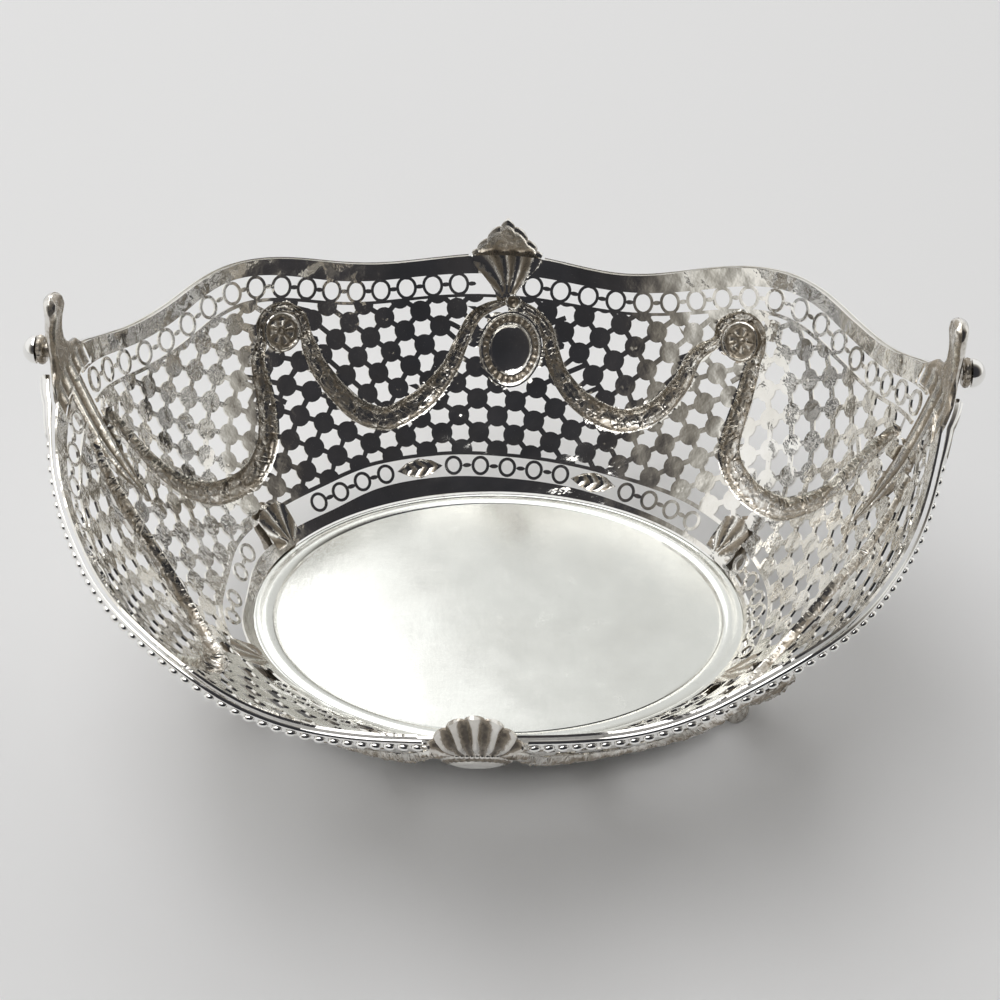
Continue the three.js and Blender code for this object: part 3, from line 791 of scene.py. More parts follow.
    def place_high_lattice(self):
        """The lattice above the garland, hung from the line below the high rings."""
        for side in (1, -1):
            first, step, draw_in, count, row_step = HIGH_COLUMNS[side]
            walk = Walk(side, HIGH_COLUMN_LEVEL)
            centres = {}
            for k in range(-1, 26):
                length = first + step * k - draw_in * math.sin(math.pi * min(k, count) / count)
                angle = walk.angle(length)
                if not 0 < length < walk.length(place(side, LATTICE_END)):
                    continue
                scale = float(local_scale(angle, HIGH_ROW_LEVEL)[2])
                for row in range(-1, 12):
                    down = float(half_value(HIGH_DROP, angle)) + row_step * row
                    rise = float(at_level(angle, HIGH_LINE[1])) - down / scale
                    if (k + row) % 2 == 0 and rise > HIGH_LAST_RISE:
                        centres[k, row] = (side, angle, rise)
            self.keep(centres, True)

    def place_low_lattice(self):
        """The lattice below the garland, on the line above the low rings. Its columns spread towards the
        ends, so that the last one falls on the long axis."""
        step, row_step = LOW_STEPS
        centres = {}
        for side, start in LOW_STARTS.items():
            walk = Walk(side, LOW_COLUMN_LEVEL)
            last = round((walk.total - start) / step)
            stretch = walk.total - start - last * step
            for n in range(last + 1):
                length = start + step * n
                angle = walk.angle(length + stretch * float(smooth(length, 50, walk.total)))
                scale = float(local_scale(angle, LOW_ROW_LEVEL)[2])
                k = n - 1 if side > 0 else -2 - n
                for row in range(17):
                    up = float(half_value(LOW_LIFT, angle)) + row_step * row
                    rise = float(at_level(angle, LOW_LINE[1])) + up / scale
                    if (k + row) % 2 == 0 and rise < LOW_LAST_RISE:
                        centres[k, row] = (side, angle, rise)
        self.keep(centres, False)

    def draw(self):
        """Draws the bands, the ears' cut-outs, the garland, the pattern, the ornaments and the patches."""
        drawing = self.drawing
        turns = np.linspace(self.low, self.high, WALL_COLUMNS)
        for level in (*FOOT_LEVELS, FOOT_BAND, *LOW_LINE, *HIGH_LINE, RIM_BAND, *RIM_LEVELS):
            drawing.line(turns, at_level(turns, np.full_like(turns, level)))
        for angle in (self.low, self.high):
            rises = np.linspace(0, 1, 60)
            drawing.line(np.full_like(rises, angle), rises)
        for side in (1, -1):
            corners = [(0, EAR_LOW_RISE), (EAR_STEM_ANGLE, EAR_LOW_RISE), (EAR_STEM_ANGLE, RIM_BAND),
                       (EAR_HALF_ANGLE, RIM_BAND), (EAR_HALF_ANGLE, 1)]
            for (d0, r0), (d1, r1) in zip(corners, corners[1:]):
                drawing.line(np.linspace(place(side, d0), place(side, d1), 10), np.linspace(r0, r1, 10))
            self.draw_garland(self.garlands[side])
        for angle, rise in self.discs:
            drawing.oval(angle, rise, (DISC_RADIUS,) * 2, DISC_SIDES)
            drawing.oval(angle, rise, (DISC_RADIUS * 0.55,) * 2, 8)
            drawing.dots(angle, rise)
        for one, other in self.bars:
            self.draw_bar(one, other)
        for angle, rise, half in self.rings:
            for inset in (0, RING_STROKE / 2, RING_STROKE):
                drawing.oval(angle, rise, (half[0] - inset, half[1] - inset), RING_SIDES)
        for angle, rise in self.ring_beads:
            drawing.oval(angle, rise, RING_BEAD_HALF, RING_BEAD_SIDES)
            drawing.dots(angle, rise)
        for angle, rise, half in self.ovals:
            for share in (*np.arange(0.08, 1.001, OVAL_STEP / half[0]), 1):
                sides = max(8, int(8 * half[0] * share))
                drawing.oval(angle, rise, (half[0] * share, half[1] * share), sides)
        for corners in self.patches.values():
            drawing.line(corners[:, 0], corners[:, 1], True)
            low, high = corners.min(0), corners.max(0)
            grid = [np.arange(low[k], high[k], PATCH_CELL[k]) for k in (0, 1)]
            cells = np.stack(np.meshgrid(*grid), -1).reshape(-1, 2)
            drawing.dots(*cells[inside_outline(cells, corners)].T)

    def draw_garland(self, rows):
        angle, rise, half, _ = rows.T
        along = unit(on_sheet(angle, rise, np.gradient(angle), np.gradient(rise)))
        edges = []
        for share in np.linspace(-1, 1, GARLAND_ROWS):
            line = offset(angle, rise, -along[:, 1] * share * half, along[:, 0] * share * half)
            if abs(share) == 1:
                self.drawing.line(*line)
                edges.append(np.transpose(line))
            else:
                self.drawing.dots(*line)
        for k in (0, -1):
            self.drawing.line(*zip(edges[0][k], edges[1][k]))

    def draw_bar(self, one, other):
        one, other = np.array(one), np.array(other)
        along = unit(on_sheet(*(one + other) / 2, *(other - one)))
        side = np.array([-along[1], along[0]]) * BAR_HALF
        for sign in (-1, 1):
            end_reflection = [offset(*p, sign * side[0], sign * side[1]) for p in (one, other)]
            self.drawing.line(*zip(*end_reflection))


def inside_outline(points, corners):
    """Which points lie inside a closed outline."""
    x, y = points[:, 0], points[:, 1]
    inside = np.zeros(len(points), bool)
    for (x0, y0), (x1, y1) in zip(corners, np.roll(corners, -1, axis=0)):
        crosses = (y0 > y) != (y1 > y)
        with np.errstate(divide="ignore", invalid="ignore"):
            inside ^= crosses & (x < (x1 - x0) * (y - y0) / (y1 - y0) + x0)
    return inside


def close_to(points, angle, rise):
    """Which points are near enough to a place to lie on a ring or a disc about it."""
    return np.flatnonzero((np.abs(points[:, 0] - angle) < 0.08) & (np.abs(points[:, 1] - rise) < 0.07))


def polar_place(points, angle, rise, half):
    """Each place as a share of an oval's half sizes, and its turn about the oval's middle."""
    x, y = (on_sheet(angle, rise, *(points - (angle, rise)).T) / half).T
    return np.hypot(x, y), np.arctan2(y, x)


class Relief:
    """What is solid on the half wall, how far each place is pressed out, and how tarnished it is."""

    def __init__(self, wall):
        self.wall = wall
        self.trees = {}
        for side, rows in wall.garlands.items():
            spots = inner_point(rows[:, 0], rows[:, 1])
            tree = KDTree(len(spots))
            for k, spot in enumerate(spots):
                tree.insert(spot, k)
            tree.balance()
            self.trees[side] = (rows, spots, tree)

    def garland_place(self, points):
        """Length along the garland, signed distance across it and its half width, for each place."""
        spots = inner_point(points[:, 0], points[:, 1])
        found = np.full((len(points), 3), 1e6)
        along_row, up = slopes(points[:, 0], points[:, 1])
        normal = unit(np.cross(along_row, up))
        for side, (rows, line, tree) in self.trees.items():
            near = np.array([tree.find(spot)[1:] for spot in spots])
            index = near[:, 0].astype(int)
            last = len(line) - 1
            ahead = unit(line[np.clip(index + 1, 0, last)] - line[np.clip(index - 1, 0, last)])
            gap = spots - line[index]
            across = np.sum(gap * np.cross(normal, ahead), -1)
            length = rows[index, 3] + np.sum(gap * ahead, -1)
            beyond = (index == 0) | (index == last)
            distance = np.where(beyond, near[:, 1], np.abs(across))
            better = distance - rows[index, 2] < np.abs(found[:, 1]) - found[:, 2]
            found[better] = np.stack([length, np.sign(across) * distance, rows[index, 2]], -1)[better]
        return found

    def solid(self, points):
        """Which points lie on metal, and not in an opening or in the cut-out of an ear."""
        angle, rise = points.T
        level = level_of(angle, rise)
        solid = (level < FOOT_BAND) | (level > RIM_BAND)
        for low, high in (LOW_LINE, HIGH_LINE):
            solid |= (level > low) & (level < high)
        ring_zone = (level > FOOT_BAND) & (level < LOW_LINE[0])
        ring_zone |= (level > HIGH_LINE[1]) & (level < RIM_BAND)
        _, across, half = self.garland_place(points).T
        solid |= np.abs(across) < half
        for a, r, size in self.wall.ovals:
            solid |= polar_place(points, a, r, size)[0] < 1
        for corners in self.wall.patches.values():
            solid |= inside_outline(points, corners)
        spots = inner_point(angle, rise)
        solid |= ~ring_zone & self.near_centres(spots, self.wall.discs, DISC_RADIUS)
        solid |= ~ring_zone & self.near_bars(spots)
        for a, r, half_size in self.wall.rings:
            where = close_to(points, a, r)
            where = where[ring_zone[where]]
            share = polar_place(points[where], a, r, half_size)[0]
            inner = 1 - RING_STROKE / half_size[0]
            solid[where[(share < 1) & (share > inner)]] = True
            hole = where[share <= inner]
            solid[hole] = np.abs(across[hole]) < half[hole]
        for a, r in self.wall.ring_beads:
            solid |= ring_zone & (polar_place(points, a, r, RING_BEAD_HALF)[0] < 1)
        end = np.degrees(np.minimum(angle, math.pi - angle))
        ear = (end < EAR_STEM_ANGLE) & (rise > EAR_LOW_RISE) | (end < EAR_HALF_ANGLE) & (rise > RIM_BAND)
        return solid & ~ear

    @staticmethod
    def near_centres(spots, centres, radius):
        near = np.zeros(len(spots), bool)
        for centre in inner_point(*np.array(centres).T):
            near |= np.sum((spots - centre) ** 2, -1) < radius ** 2
        return near

    def near_bars(self, spots):
        near = np.zeros(len(spots), bool)
        for one, other in self.wall.bars:
            start, end = inner_point(np.array([one[0], other[0]]), np.array([one[1], other[1]]))
            close = np.flatnonzero(np.sum((spots - (start + end) / 2) ** 2, -1) < BAR_REACH ** 2)
            along = end - start
            share = np.clip((spots[close] - start) @ along / (along @ along), 0, 1)
            gap = spots[close] - start - share[:, None] * along
            near[close[np.sum(gap * gap, -1) < BAR_HALF ** 2]] = True
        return near

    def depth_tarnish_and_reflection(self, points):
        """Depth in mm, outwards from the wall's inner face, and tarnish from 0 to 1, which towards the
        dish's ends is partly a painted reflection of the far wall.
        """
        angle, rise = points.T
        self.points = points
        self.depth = np.zeros(len(points))
        # Tarnish grows towards the rim. Towards the ends of the dish the extra brown is a painted
        # reflection: the brown that the end walls mirror from the far wall's tarnished inside
        end_reflection = smooth(np.abs(np.cos(angle)), 0.45, 0.85)
        self.tarnish = 0.14 + 0.1 * smooth(rise, 0.3, 0.9) + 0.46 * end_reflection
        self.lattice()
        self.rings()
        self.rim_band()
        foot = rise < FOOT_BAND
        self.depth[foot] -= COVE * (1 - rise[foot] / FOOT_BAND) ** 1.3
        self.garland()
        self.leaves()
        self.medallion()
        self.rosettes()
        return self.depth, self.tarnish

    def press(self, inside, depth, tarnish):
        """Gives the points inside an outline their depth and tarnish."""
        self.depth[inside] = depth[inside]
        self.tarnish[inside] = tarnish[inside]

    def lattice(self):
        """Discs, each domed and tilted a little differently, so that they mirror parts of the room."""
        rng = np.random.default_rng(4)
        for a, r in self.wall.discs:
            lift, tilt = rng.uniform(*DISC_LIFT), rng.normal(0, DISC_TILT, 2)
            close = close_to(self.points, a, r)
            share, turn = polar_place(self.points[close], a, r, (DISC_RADIUS,) * 2)
            inside = share < OUTLINE
            where, share, turn = close[inside], share[inside], turn[inside]
            slope = (tilt[0] * np.cos(turn) + tilt[1] * np.sin(turn)) * share * (1 - share ** 4)
            self.depth[where] = -DISC_DOME * lift * (1 - share ** 2) + slope

    def rings(self):
        """Rounded rings, of which the high ones are tarnished."""
        for a, r, half in self.wall.rings:
            close = close_to(self.points, a, r)
            share = polar_place(self.points[close], a, r, half)[0]
            middle = 1 - RING_STROKE / half[0] / 2
            inside = np.abs(share - middle) < RING_STROKE / half[0] / 2 + 0.01
            where = close[inside]
            away = np.abs(share[inside] - middle) * half[0] / RING_STROKE * 2
            self.depth[where] = RING_DOME * (1 - away ** 2)
            self.tarnish[where] = 0.1 + 0.5 * (1 - away) * (self.points[where, 1] > 0.5)

    def rim_band(self):
        """Leaves along the rim on the shoulders, plain towards the crest, with a raised lip on top."""
        angle, rise = self.points.T
        band = level_of(angle, rise) > RIM_BAND - 0.001
        height = np.clip((rise - RIM_BAND) / (1 - RIM_BAND), 0, 1)
        off = np.abs(np.degrees(angle) - 90)
        chased = smooth(off, 28, 34) * (1 - smooth(off, 72, 78))
        leaf = 0.55 * np.sin(off * 2.9 + height * 2.2) * bump(height - 0.5, 0.45)
        leaf += 0.3 * bump(np.mod(off, 7.0) - 3.5, 0.45)
        ripple = 1.1 * bump(height - 0.5, 0.42) + 0.25 * np.sin(off * 0.55)
        tarnish = 0.34 + 0.34 * chased - 0.25 * bump(height - 1, 0.25) + 0.3 * chased * leaf
        self.press(band, self.depth + (chased * leaf + ripple), tarnish)

    def garland(self):
        """A trough pressed outwards, filled with a chain of ribbed leaves tied with berries."""
        length, across, half = self.garland_place(self.points).T
        inside = np.abs(across) < half + 0.02
        share = np.abs(across) / half
        body = GARLAND_DEPTH * np.sqrt(np.clip(1 - (share / 0.88) ** 2, 0, 1)) * np.clip(half / 4.2, 0.4, 1)
        phase = np.mod(length / LEAF_PITCH, 1)
        width = 0.66 * np.sqrt(np.clip(np.sin(np.pi * phase), 0.01, 1))
        central = np.sqrt(np.clip(1 - (share / width) ** 2, 0, 1))
        late = np.mod(length / LEAF_PITCH + 0.5, 1)
        reach = 0.42 * np.sqrt(np.sin(np.pi * late)) + 0.02
        beside = np.sqrt(np.clip(1 - ((share - 0.86) / reach) ** 2, 0, 1)) * (share > width)
        berry = bump(np.minimum(phase, 1 - phase) * LEAF_PITCH, 0.9)
        berry *= np.abs(np.mod(across + 0.8, 1.6) - 0.8) < 0.7
        rib = bump(across, 0.3) * central
        veins = 0.04 * np.cos(across * 3.6 + length * 1.3) * central
        depth = body - 0.7 * central - 0.35 * beside - 0.35 * berry * (share < 0.6) + 0.2 * rib + veins
        depth -= 0.35 * bump(share - 0.97, 0.06)
        crevice = np.clip(1 - np.maximum(central, np.maximum(beside, berry)) * 1.7, 0, 1)
        tarnish = 0.54 + 0.26 * crevice - 0.12 * central ** 3 + 0.12 * rib - 0.06 * beside
        edge = smooth(share, 0.85, 0.93)
        self.press(inside, depth, tarnish * (1 - edge) + 0.12 * edge)

    def leaves(self):
        """Veined leaves on the solid patches, and folds in the falls below the ears."""
        points = self.points
        angle, rise = points.T
        apron = inside_outline(points, self.wall.patches["apron"])
        middle = math.radians(CRESTS["back"]["degrees"])
        share, turn = polar_place(points, middle, HIGH_RING_LEVEL - 0.1, (10, 19))
        veins = np.cos(turn * 11 + share * 3)
        self.press(apron, self.depth + 0.5 * veins * smooth(share, 0.2, 0.5), 0.5 - 0.3 * veins)
        for side in (1, -1):
            inside = inside_outline(points, self.wall.patches["leaf", side])
            middle = self.wall.leaf_places[side]
            share, turn = polar_place(points, middle, float(at_level(middle, LOW_RING_LEVEL)), (9.5, 4.1))
            vein = np.cos(share * np.cos(turn) * 13 - np.abs(share * np.sin(turn)) * 5)
            self.press(inside, self.depth + (0.45 * vein + 0.9) * (1 - share ** 2), 0.4 - 0.3 * vein)
            inside = inside_outline(points, self.wall.patches["fall", side])
            end = np.degrees(angle if side > 0 else math.pi - angle)
            span = np.clip((rise - 0.42) / 0.3, 0.02, 1)
            fold = np.cos(end / (3.4 * span) * math.pi * 2)
            self.press(inside, EAR_FOLD * (fold + 1) * span, 0.5 + 0.3 * fold)
            inside = inside_outline(points, self.wall.patches["ground", side])
            share, turn = polar_place(points, place(side, FOOT_GROUND_ANGLE), 0.0, (7, 17))
            vein = np.cos(turn * 9)
            self.press(inside, self.depth + 0.35 * vein * smooth(share, 0.1, 0.5), 0.55 - 0.25 * vein)

    def medallion(self):
        """A dished polished middle in a ring of small cups, and the boss over it."""
        share, turn = polar_place(self.points, place(1, MEDALLION[0]), MEDALLION[1], MEDALLION[2:])
        off = (share - 0.80) * MEDALLION[2]
        cup = bump(off, 1.0) * np.clip(0.45 + 0.8 * np.cos(turn * MEDALLION_CUPS), 0, 1)
        bowl = MEDALLION_DEPTH * np.clip(1 - (share * 0.98) ** 2, 0, 1) ** 0.8
        edge = -0.5 * bump(share - 0.95, 0.03) - 0.5 * bump(share - 0.67, 0.025)
        ring = smooth(share, 0.67, 0.71) * (1 - smooth(share, 0.88, 0.92))
        self.press(share < OUTLINE, bowl - 0.6 * cup + edge, 0.08 + 0.85 * ring - 0.5 * ring * cup)
        share, _ = polar_place(self.points, *self.wall.boss, (BOSS_RADIUS,) * 2)
        depth = 1.6 * (1 - (share / 0.8) ** 2).clip(0) - 0.5 * bump(share - 0.9, 0.12)
        self.press(share < OUTLINE, depth, 0.75 - 0.6 * smooth(share, 0.7, 0.85))

    def rosettes(self):
        """A flower in a dished round frame on each half, with a boss in its middle."""
        for side in (1, -1):
            share, turn = polar_place(self.points, place(side, ROSETTE[0]), ROSETTE[1], (ROSETTE[2],) * 2)
            petal = np.abs(np.cos(turn * ROSETTE_PETALS / 2))
            reach = smooth(share, 0.14, 0.26) * (1 - smooth(share, 0.62, 0.74))
            shape = -0.9 * reach * petal ** 0.5
            boss = -1.1 * bump(share, 0.12)
            edge = -0.9 * bump(share - 0.9, 0.06) - 0.4 * bump(share - 0.77, 0.03)
            depth = ROSETTE_DEPTH * np.clip(1 - share ** 2, 0, 1) ** 0.7 + shape + boss + edge
            tarnish = 0.85 - 0.4 * reach * petal - 0.6 * bump(share - 0.9, 0.08) - 0.5 * bump(share, 0.12)
            self.press(share < OUTLINE, depth, tarnish)


def build_walls():
    """Both halves from one drawing: an inner and an outer face, joined along every edge."""
    wall = Wall()
    relief = Relief(wall)
    points, faces = wall.drawing.triangles(wall.low, wall.high)
    faces = faces[relief.solid(points[faces].mean(1))]
    used, faces = np.unique(faces, return_inverse=True)
    points = points[used]
    faces = faces.reshape(-1, 3)
    depth, tarnish = relief.depth_tarnish_and_reflection(points)
    count = len(points)
    directed = np.concatenate([faces[:, [0, 1]], faces[:, [1, 2]], faces[:, [2, 0]]])
    known = {tuple(edge) for edge in directed}
    border = [(a, b) for a, b in known if (b, a) not in known]
    sides = [(b, a, a + count, b + count) for a, b in border]
    for name, node, step in (("back_wall", "wall_back", 1), ("front_wall", "wall_front", -1)):
        angle = points[:, 0] if step > 0 else TAU - points[:, 0]
        inner = wall_point(angle, points[:, 1], depth)
        outer = wall_point(angle, points[:, 1], depth + WALL_THICKNESS * 0.8)
        # The inner face looks into the dish, so its corners run the other way round from the outer's
        all_faces = [*faces[:, ::-step], *(faces[:, ::step] + count), *(s[::step] for s in sides)]
        make_object(name, np.vstack([inner, outer]), all_faces, pierced, node,
                    np.concatenate([tarnish, tarnish]), 50)


build_walls()


# Floor of the dish and the ring around it
def build_floor():
    """The plate, with a fine groove and a raised moulding near its edge."""
    build = Build()
    turn = full_turn(160)
    rows = []
    # Share of the half sizes and height above the floor, from the middle out, then back underneath
    profile = [(0.0, 0), (0.3, 0), (0.6, 0), (0.8, 0), (0.9, 0), (0.915, 0.02), (0.92, -0.2), (0.925, 0.1),
               (0.94, 0.45), (0.955, 0.6), (0.97, 0.55), (0.985, 0.3), (0.992, 0.5), (1.0, 0.45),
               (1.0, 0.1 - PLATE_THICKNESS), (0.98, -PLATE_THICKNESS), (0, -PLATE_THICKNESS)]
    half_length, half_width = BASE_HALF_LENGTH - 2 * GAP, BASE_HALF_WIDTH - 2 * GAP
    for share, height in profile:
        share = max(share, 0.002)
        rows.append(np.stack([half_length * share * np.cos(turn), half_width * share * np.sin(turn),
                              np.full_like(turn, height)], -1))
    build.bar(rows, tarnish=0.1)
    build.make("floor_plate", worn, "base_plate", 30)


def build_ring():
    """The moulded ring at the wall's foot, with a ledge under the plate."""
    build = Build()
    ledge = -PLATE_THICKNESS - GAP
    top = WALL_FOOT - WALL_THICKNESS - GAP
    sole = ledge - LEDGE_THICKNESS
    bulge = 1.2
    ridge = [(RING_RIDGE - bulge + bulge * math.sin(t), (top + sole) / 2 + (top - sole) / 2 * math.cos(t))
             for t in np.linspace(0.1, math.pi - 0.1, 9)]
    profile = [(-GAP, top + 0.2), (-GAP, ledge), (-LEDGE_WIDTH, ledge), (-LEDGE_WIDTH, sole)] + ridge[::-1]
    turns = full_turn(192)
    sections = []
    for point, away in zip(base_edge(turns), outward(base_edge, turns)):
        sections.append([point * (1, 1, 0) + away * off + (0, 0, z) for off, z in profile])
    build.bar(sections, closed=True, tarnish=0.25)
    build.make("floor_ring", bright, "base_ring")


build_floor()
build_ring()


# Ears
def tab_lean(end, up):
    """How far inwards the ear leans at a height over the rim."""
    centre = end["height"] - EAR_TAB_RADIUS
    back = (end["lean"] + EAR_BOW * centre) * min(1, up / centre) ** 2
    return back - EAR_BOW * min(up, centre)


def ear_thickness(share):
    """Thickness from the middle of the ear, at 0, to its edge, at 1."""
    return EAR_THICKNESS + (EAR_EDGE_THICKNESS - EAR_THICKNESS) * np.minimum(1, share * share)


def tab_swell(end, up):
    """How much thicker each face of the ear is towards its tab."""
    return EAR_SWELL * min(1, up / (end["height"] - EAR_TAB_RADIUS)) ** 2


def build_ear(name, end):
    """Folded drapery that fills the wall's cut-out, rising to a thick rounded tab with a bright ridge."""
    angle = end["angle"]
    middle = rim_edge(angle)
    away = outward(rim_edge, angle)
    side = np.array([-away[1], away[0], 0])
    shares = np.linspace(-1, 1, 41)
    sections = []
    tarnish = []
    rows = [(rise, EAR_STEM_ANGLE) for rise in np.linspace(EAR_LOW_RISE + 0.003, RIM_BAND - 0.001, 14)]
    rows += [(rise, EAR_HALF_ANGLE) for rise in np.linspace(RIM_BAND + 0.003, 1, 9)]
    for rise, degrees in rows:
        turn = angle + shares * (math.radians(degrees) - GAP / RIM_HALF_WIDTH)
        high = (rise - EAR_LOW_RISE) / (1 - EAR_LOW_RISE)
        fold = EAR_FOLD * np.cos(shares * degrees / EAR_STEM_ANGLE * math.pi * 2) * (1 - shares ** 6)
        dip = (fold + EAR_FOLD) * (1 - smooth(high, 0.92, 1.0))
        inner = wall_point(turn, np.full_like(turn, rise), dip)
        outer = wall_point(turn, np.full_like(turn, rise), ear_thickness(shares * degrees / EAR_HALF_ANGLE))
        sections.append(np.vstack([inner, outer[::-1]]))
        tarnish.append(np.concatenate([0.5 + 0.3 * fold / EAR_FOLD, np.full_like(shares, 0.5)]))
    centre = end["height"] - EAR_TAB_RADIUS
    heights = [0.6, 1.2, 2.4, 4.4, 7.5, 11.5, 14.5, 17, centre]
    halves = [13.2, 9.9, 8.3, 7.0, 6.0, EAR_NECK, 5.75, 6.1, EAR_TAB_RADIUS]
    for turn in np.radians([12, 24, 36, 48, 58, 68, 78, 86]):
        heights.append(centre + EAR_TAB_RADIUS * math.sin(turn))
        halves.append(EAR_TAB_RADIUS * math.cos(turn))
    for up, half in zip(heights, halves):
        lean, swell = tab_lean(end, up), tab_swell(end, up)
        edge = np.sqrt(np.clip(1 - np.abs(shares) ** 3, 0, 1))
        thick = ear_thickness(shares * half / (EAR_TAB_RADIUS * EAR_TAB_FALL))
        top = smooth(up, centre + EAR_TAB_RADIUS * 0.7, centre + EAR_TAB_RADIUS)
        squeeze = np.clip((1 - edge) * (0.25 + 0.75 * smooth(up, 1, 7)) + top * 0.7, 0, 0.95)
        ridge = 0.5 * bump(np.abs(shares) - 0.72, 0.12) * smooth(up, 3, 9)
        hollow = 0.8 * (1 - shares ** 2) * smooth(up, 3, 9) * (1 - top)
        core = thick / 2
        front = core + (-swell - ridge + hollow - core) * (1 - squeeze)
        back = core + (swell + thick - core) * (1 - squeeze)
        base = middle + np.array([0, 0, up]) + np.outer(shares * half, side)
        inner = base + np.outer(front - lean, away)
        outer = base + np.outer(back - lean, away)
        sections.append(np.vstack([inner, outer[::-1]]))
        marks = 0.55 - 0.45 * ridge + 0.1 * (1 - edge)
        tarnish.append(np.concatenate([marks, np.full_like(shares, 0.35)]))
    build = Build()
    build.bar(sections, tarnish=np.concatenate(tarnish))
    build.make(f"ear_{name}_cast", cast, f"ear_{name}", 60)


def build_button(name, end):
    """The plate with its shank and pointed lower tip, and the polished dome."""
    middle = rim_edge(end["angle"])
    side = math.copysign(1, middle[0])
    centre = end["height"] - EAR_TAB_RADIUS
    bow = max(tab_swell(end, share * end["height"]) - tab_lean(end, share * end["height"])
              for share in (0, 0.15, 0.3, 0.45, 0.6))
    start = abs(middle[0]) + EAR_THICKNESS + bow + GAP

    def place_of(x, y, height):
        return np.stack([side * (start + height), x, BUTTON_HEIGHT + y], -1)

    back, front = end["plate"], end["plate"] + BUTTON_PLATE_THICKNESS
    rng = np.random.default_rng(7)
    build = Build()
    turn = full_turn(36)
    rough = 1 + 0.05 * rng.standard_normal(len(turn))
    tip = 1 + 0.14 * bump(np.mod(turn - math.pi / 2, TAU) - math.pi, 0.35)
    rows = []
    for radius, height in ((0.05, 0.05), (BUTTON_SHANK_RADIUS, 0.05), (BUTTON_SHANK_RADIUS, back + 0.1),
                           (BUTTON_RADIUS - 0.8, back + 0.1), (BUTTON_RADIUS - 0.2, back + 0.6),
                           (BUTTON_RADIUS, (back + front) / 2), (BUTTON_RADIUS - 0.3, front - 0.2),
                           (BUTTON_RADIUS - 0.9, front), (0.05, front)):
        wide = radius * (rough * tip if radius > BUTTON_SHANK_RADIUS else 1)
        rows.append(place_of(wide * np.cos(turn), wide * np.sin(turn), np.full_like(turn, height)))
    build.bar(rows, tarnish=0.55)
    build.make(f"button_{name}_plate", cast, f"button_plate_{name}")
    dome = Build()
    profile = [(0.05, front + GAP)]
    profile += [(BUTTON_RADIUS * math.cos(t), front + GAP + BUTTON_RADIUS * math.sin(t))
                for t in np.linspace(0.02, math.pi / 2 - 0.02, 14)]
    dome.turned(profile, place_of, 48, 0.2)
    dome.make(f"button_{name}_dome", bright, f"button_dome_{name}")


for end_name, end_facts in ENDS.items():
    build_ear(end_name, end_facts)
    build_button(end_name, end_facts)


# Border
def build_border(name, end, start, crest):
    """A bright convex band on the rim with long beads under it, a plain strap beside the ear."""
    turns = np.linspace(start, crest, 1400)
    lengths = run_lengths(rim_edge(turns))
    crest_x = rim_edge(crest)[0]
    finish = lengths[np.abs(rim_edge(turns)[:, 0] - crest_x) > CREST_HALF_WIDTH + GAP].max()

    def edge_at(length):
        angle = np.interp(length, lengths, turns)
        share = np.minimum(1, np.abs(angle - start) / math.radians(EAR_HALF_ANGLE))
        off = end["strap"] * (1 - np.minimum(1, length / PLAIN_END) ** 2)
        reach = rim_reach(np.atleast_1d(angle), ear_thickness(np.atleast_1d(share)))
        return angle, float(reach[0]) + GAP, off

    build = Build()
    sections = []
    for length in np.arange(BORDER_START, finish, 1.0):
        angle, edge, off = edge_at(length)
        edge += off * STRAP_STANDOFF
        out = off * (1 - STRAP_STANDOFF)
        plain = 1 - smooth(length, PLAIN_END - 3, PLAIN_END)
        away = outward(rim_edge, angle)
        profile = [(-0.1, -0.35), (0.1, -0.02), (0.6 + out, -0.1), (1.0 + out, -0.5), (1.15 + out, -1.1),
                   (0.9 + out + plain, -1.6), (0.9 + out + 1.05 * plain, -2.5),
                   (0.8 + out + 0.6 * plain, -3.4), (0.1, -3.3), (0, -2.5)]
        sections.append([rim_edge(angle) + away * (edge + far) + (0, 0, z) for far, z in profile])
    build.bar(sections, tarnish=0.05)
    for length in np.arange(PLAIN_END, finish - 1.8, BEAD_PITCH):
        angle, edge, off = edge_at(length)
        away = outward(rim_edge, angle)
        along = np.array([-away[1], away[0], 0])
        centre = rim_edge(angle) + away * (edge + off + BEAD_OUT + 0.35) + np.array([0, 0, -BEAD_DOWN])
        axes = (np.array([0, 0, 1.0]), along, away)
        build.ball(centre, axes, (BEAD_RADIUS, BEAD_HALF_LENGTH, BEAD_RADIUS), 12, 8, 0.12)
    build.make(f"{name}_beaded", bright, name, 45)


for crest_name, crest_facts in CRESTS.items():
    crest_turn = math.radians(crest_facts["degrees"])
    right_start = 0 if crest_name == "back" else TAU
    build_border(f"border_{crest_name}_right", ENDS["right"], right_start, crest_turn)
    build_border(f"border_{crest_name}_left", ENDS["left"], math.pi, crest_turn)


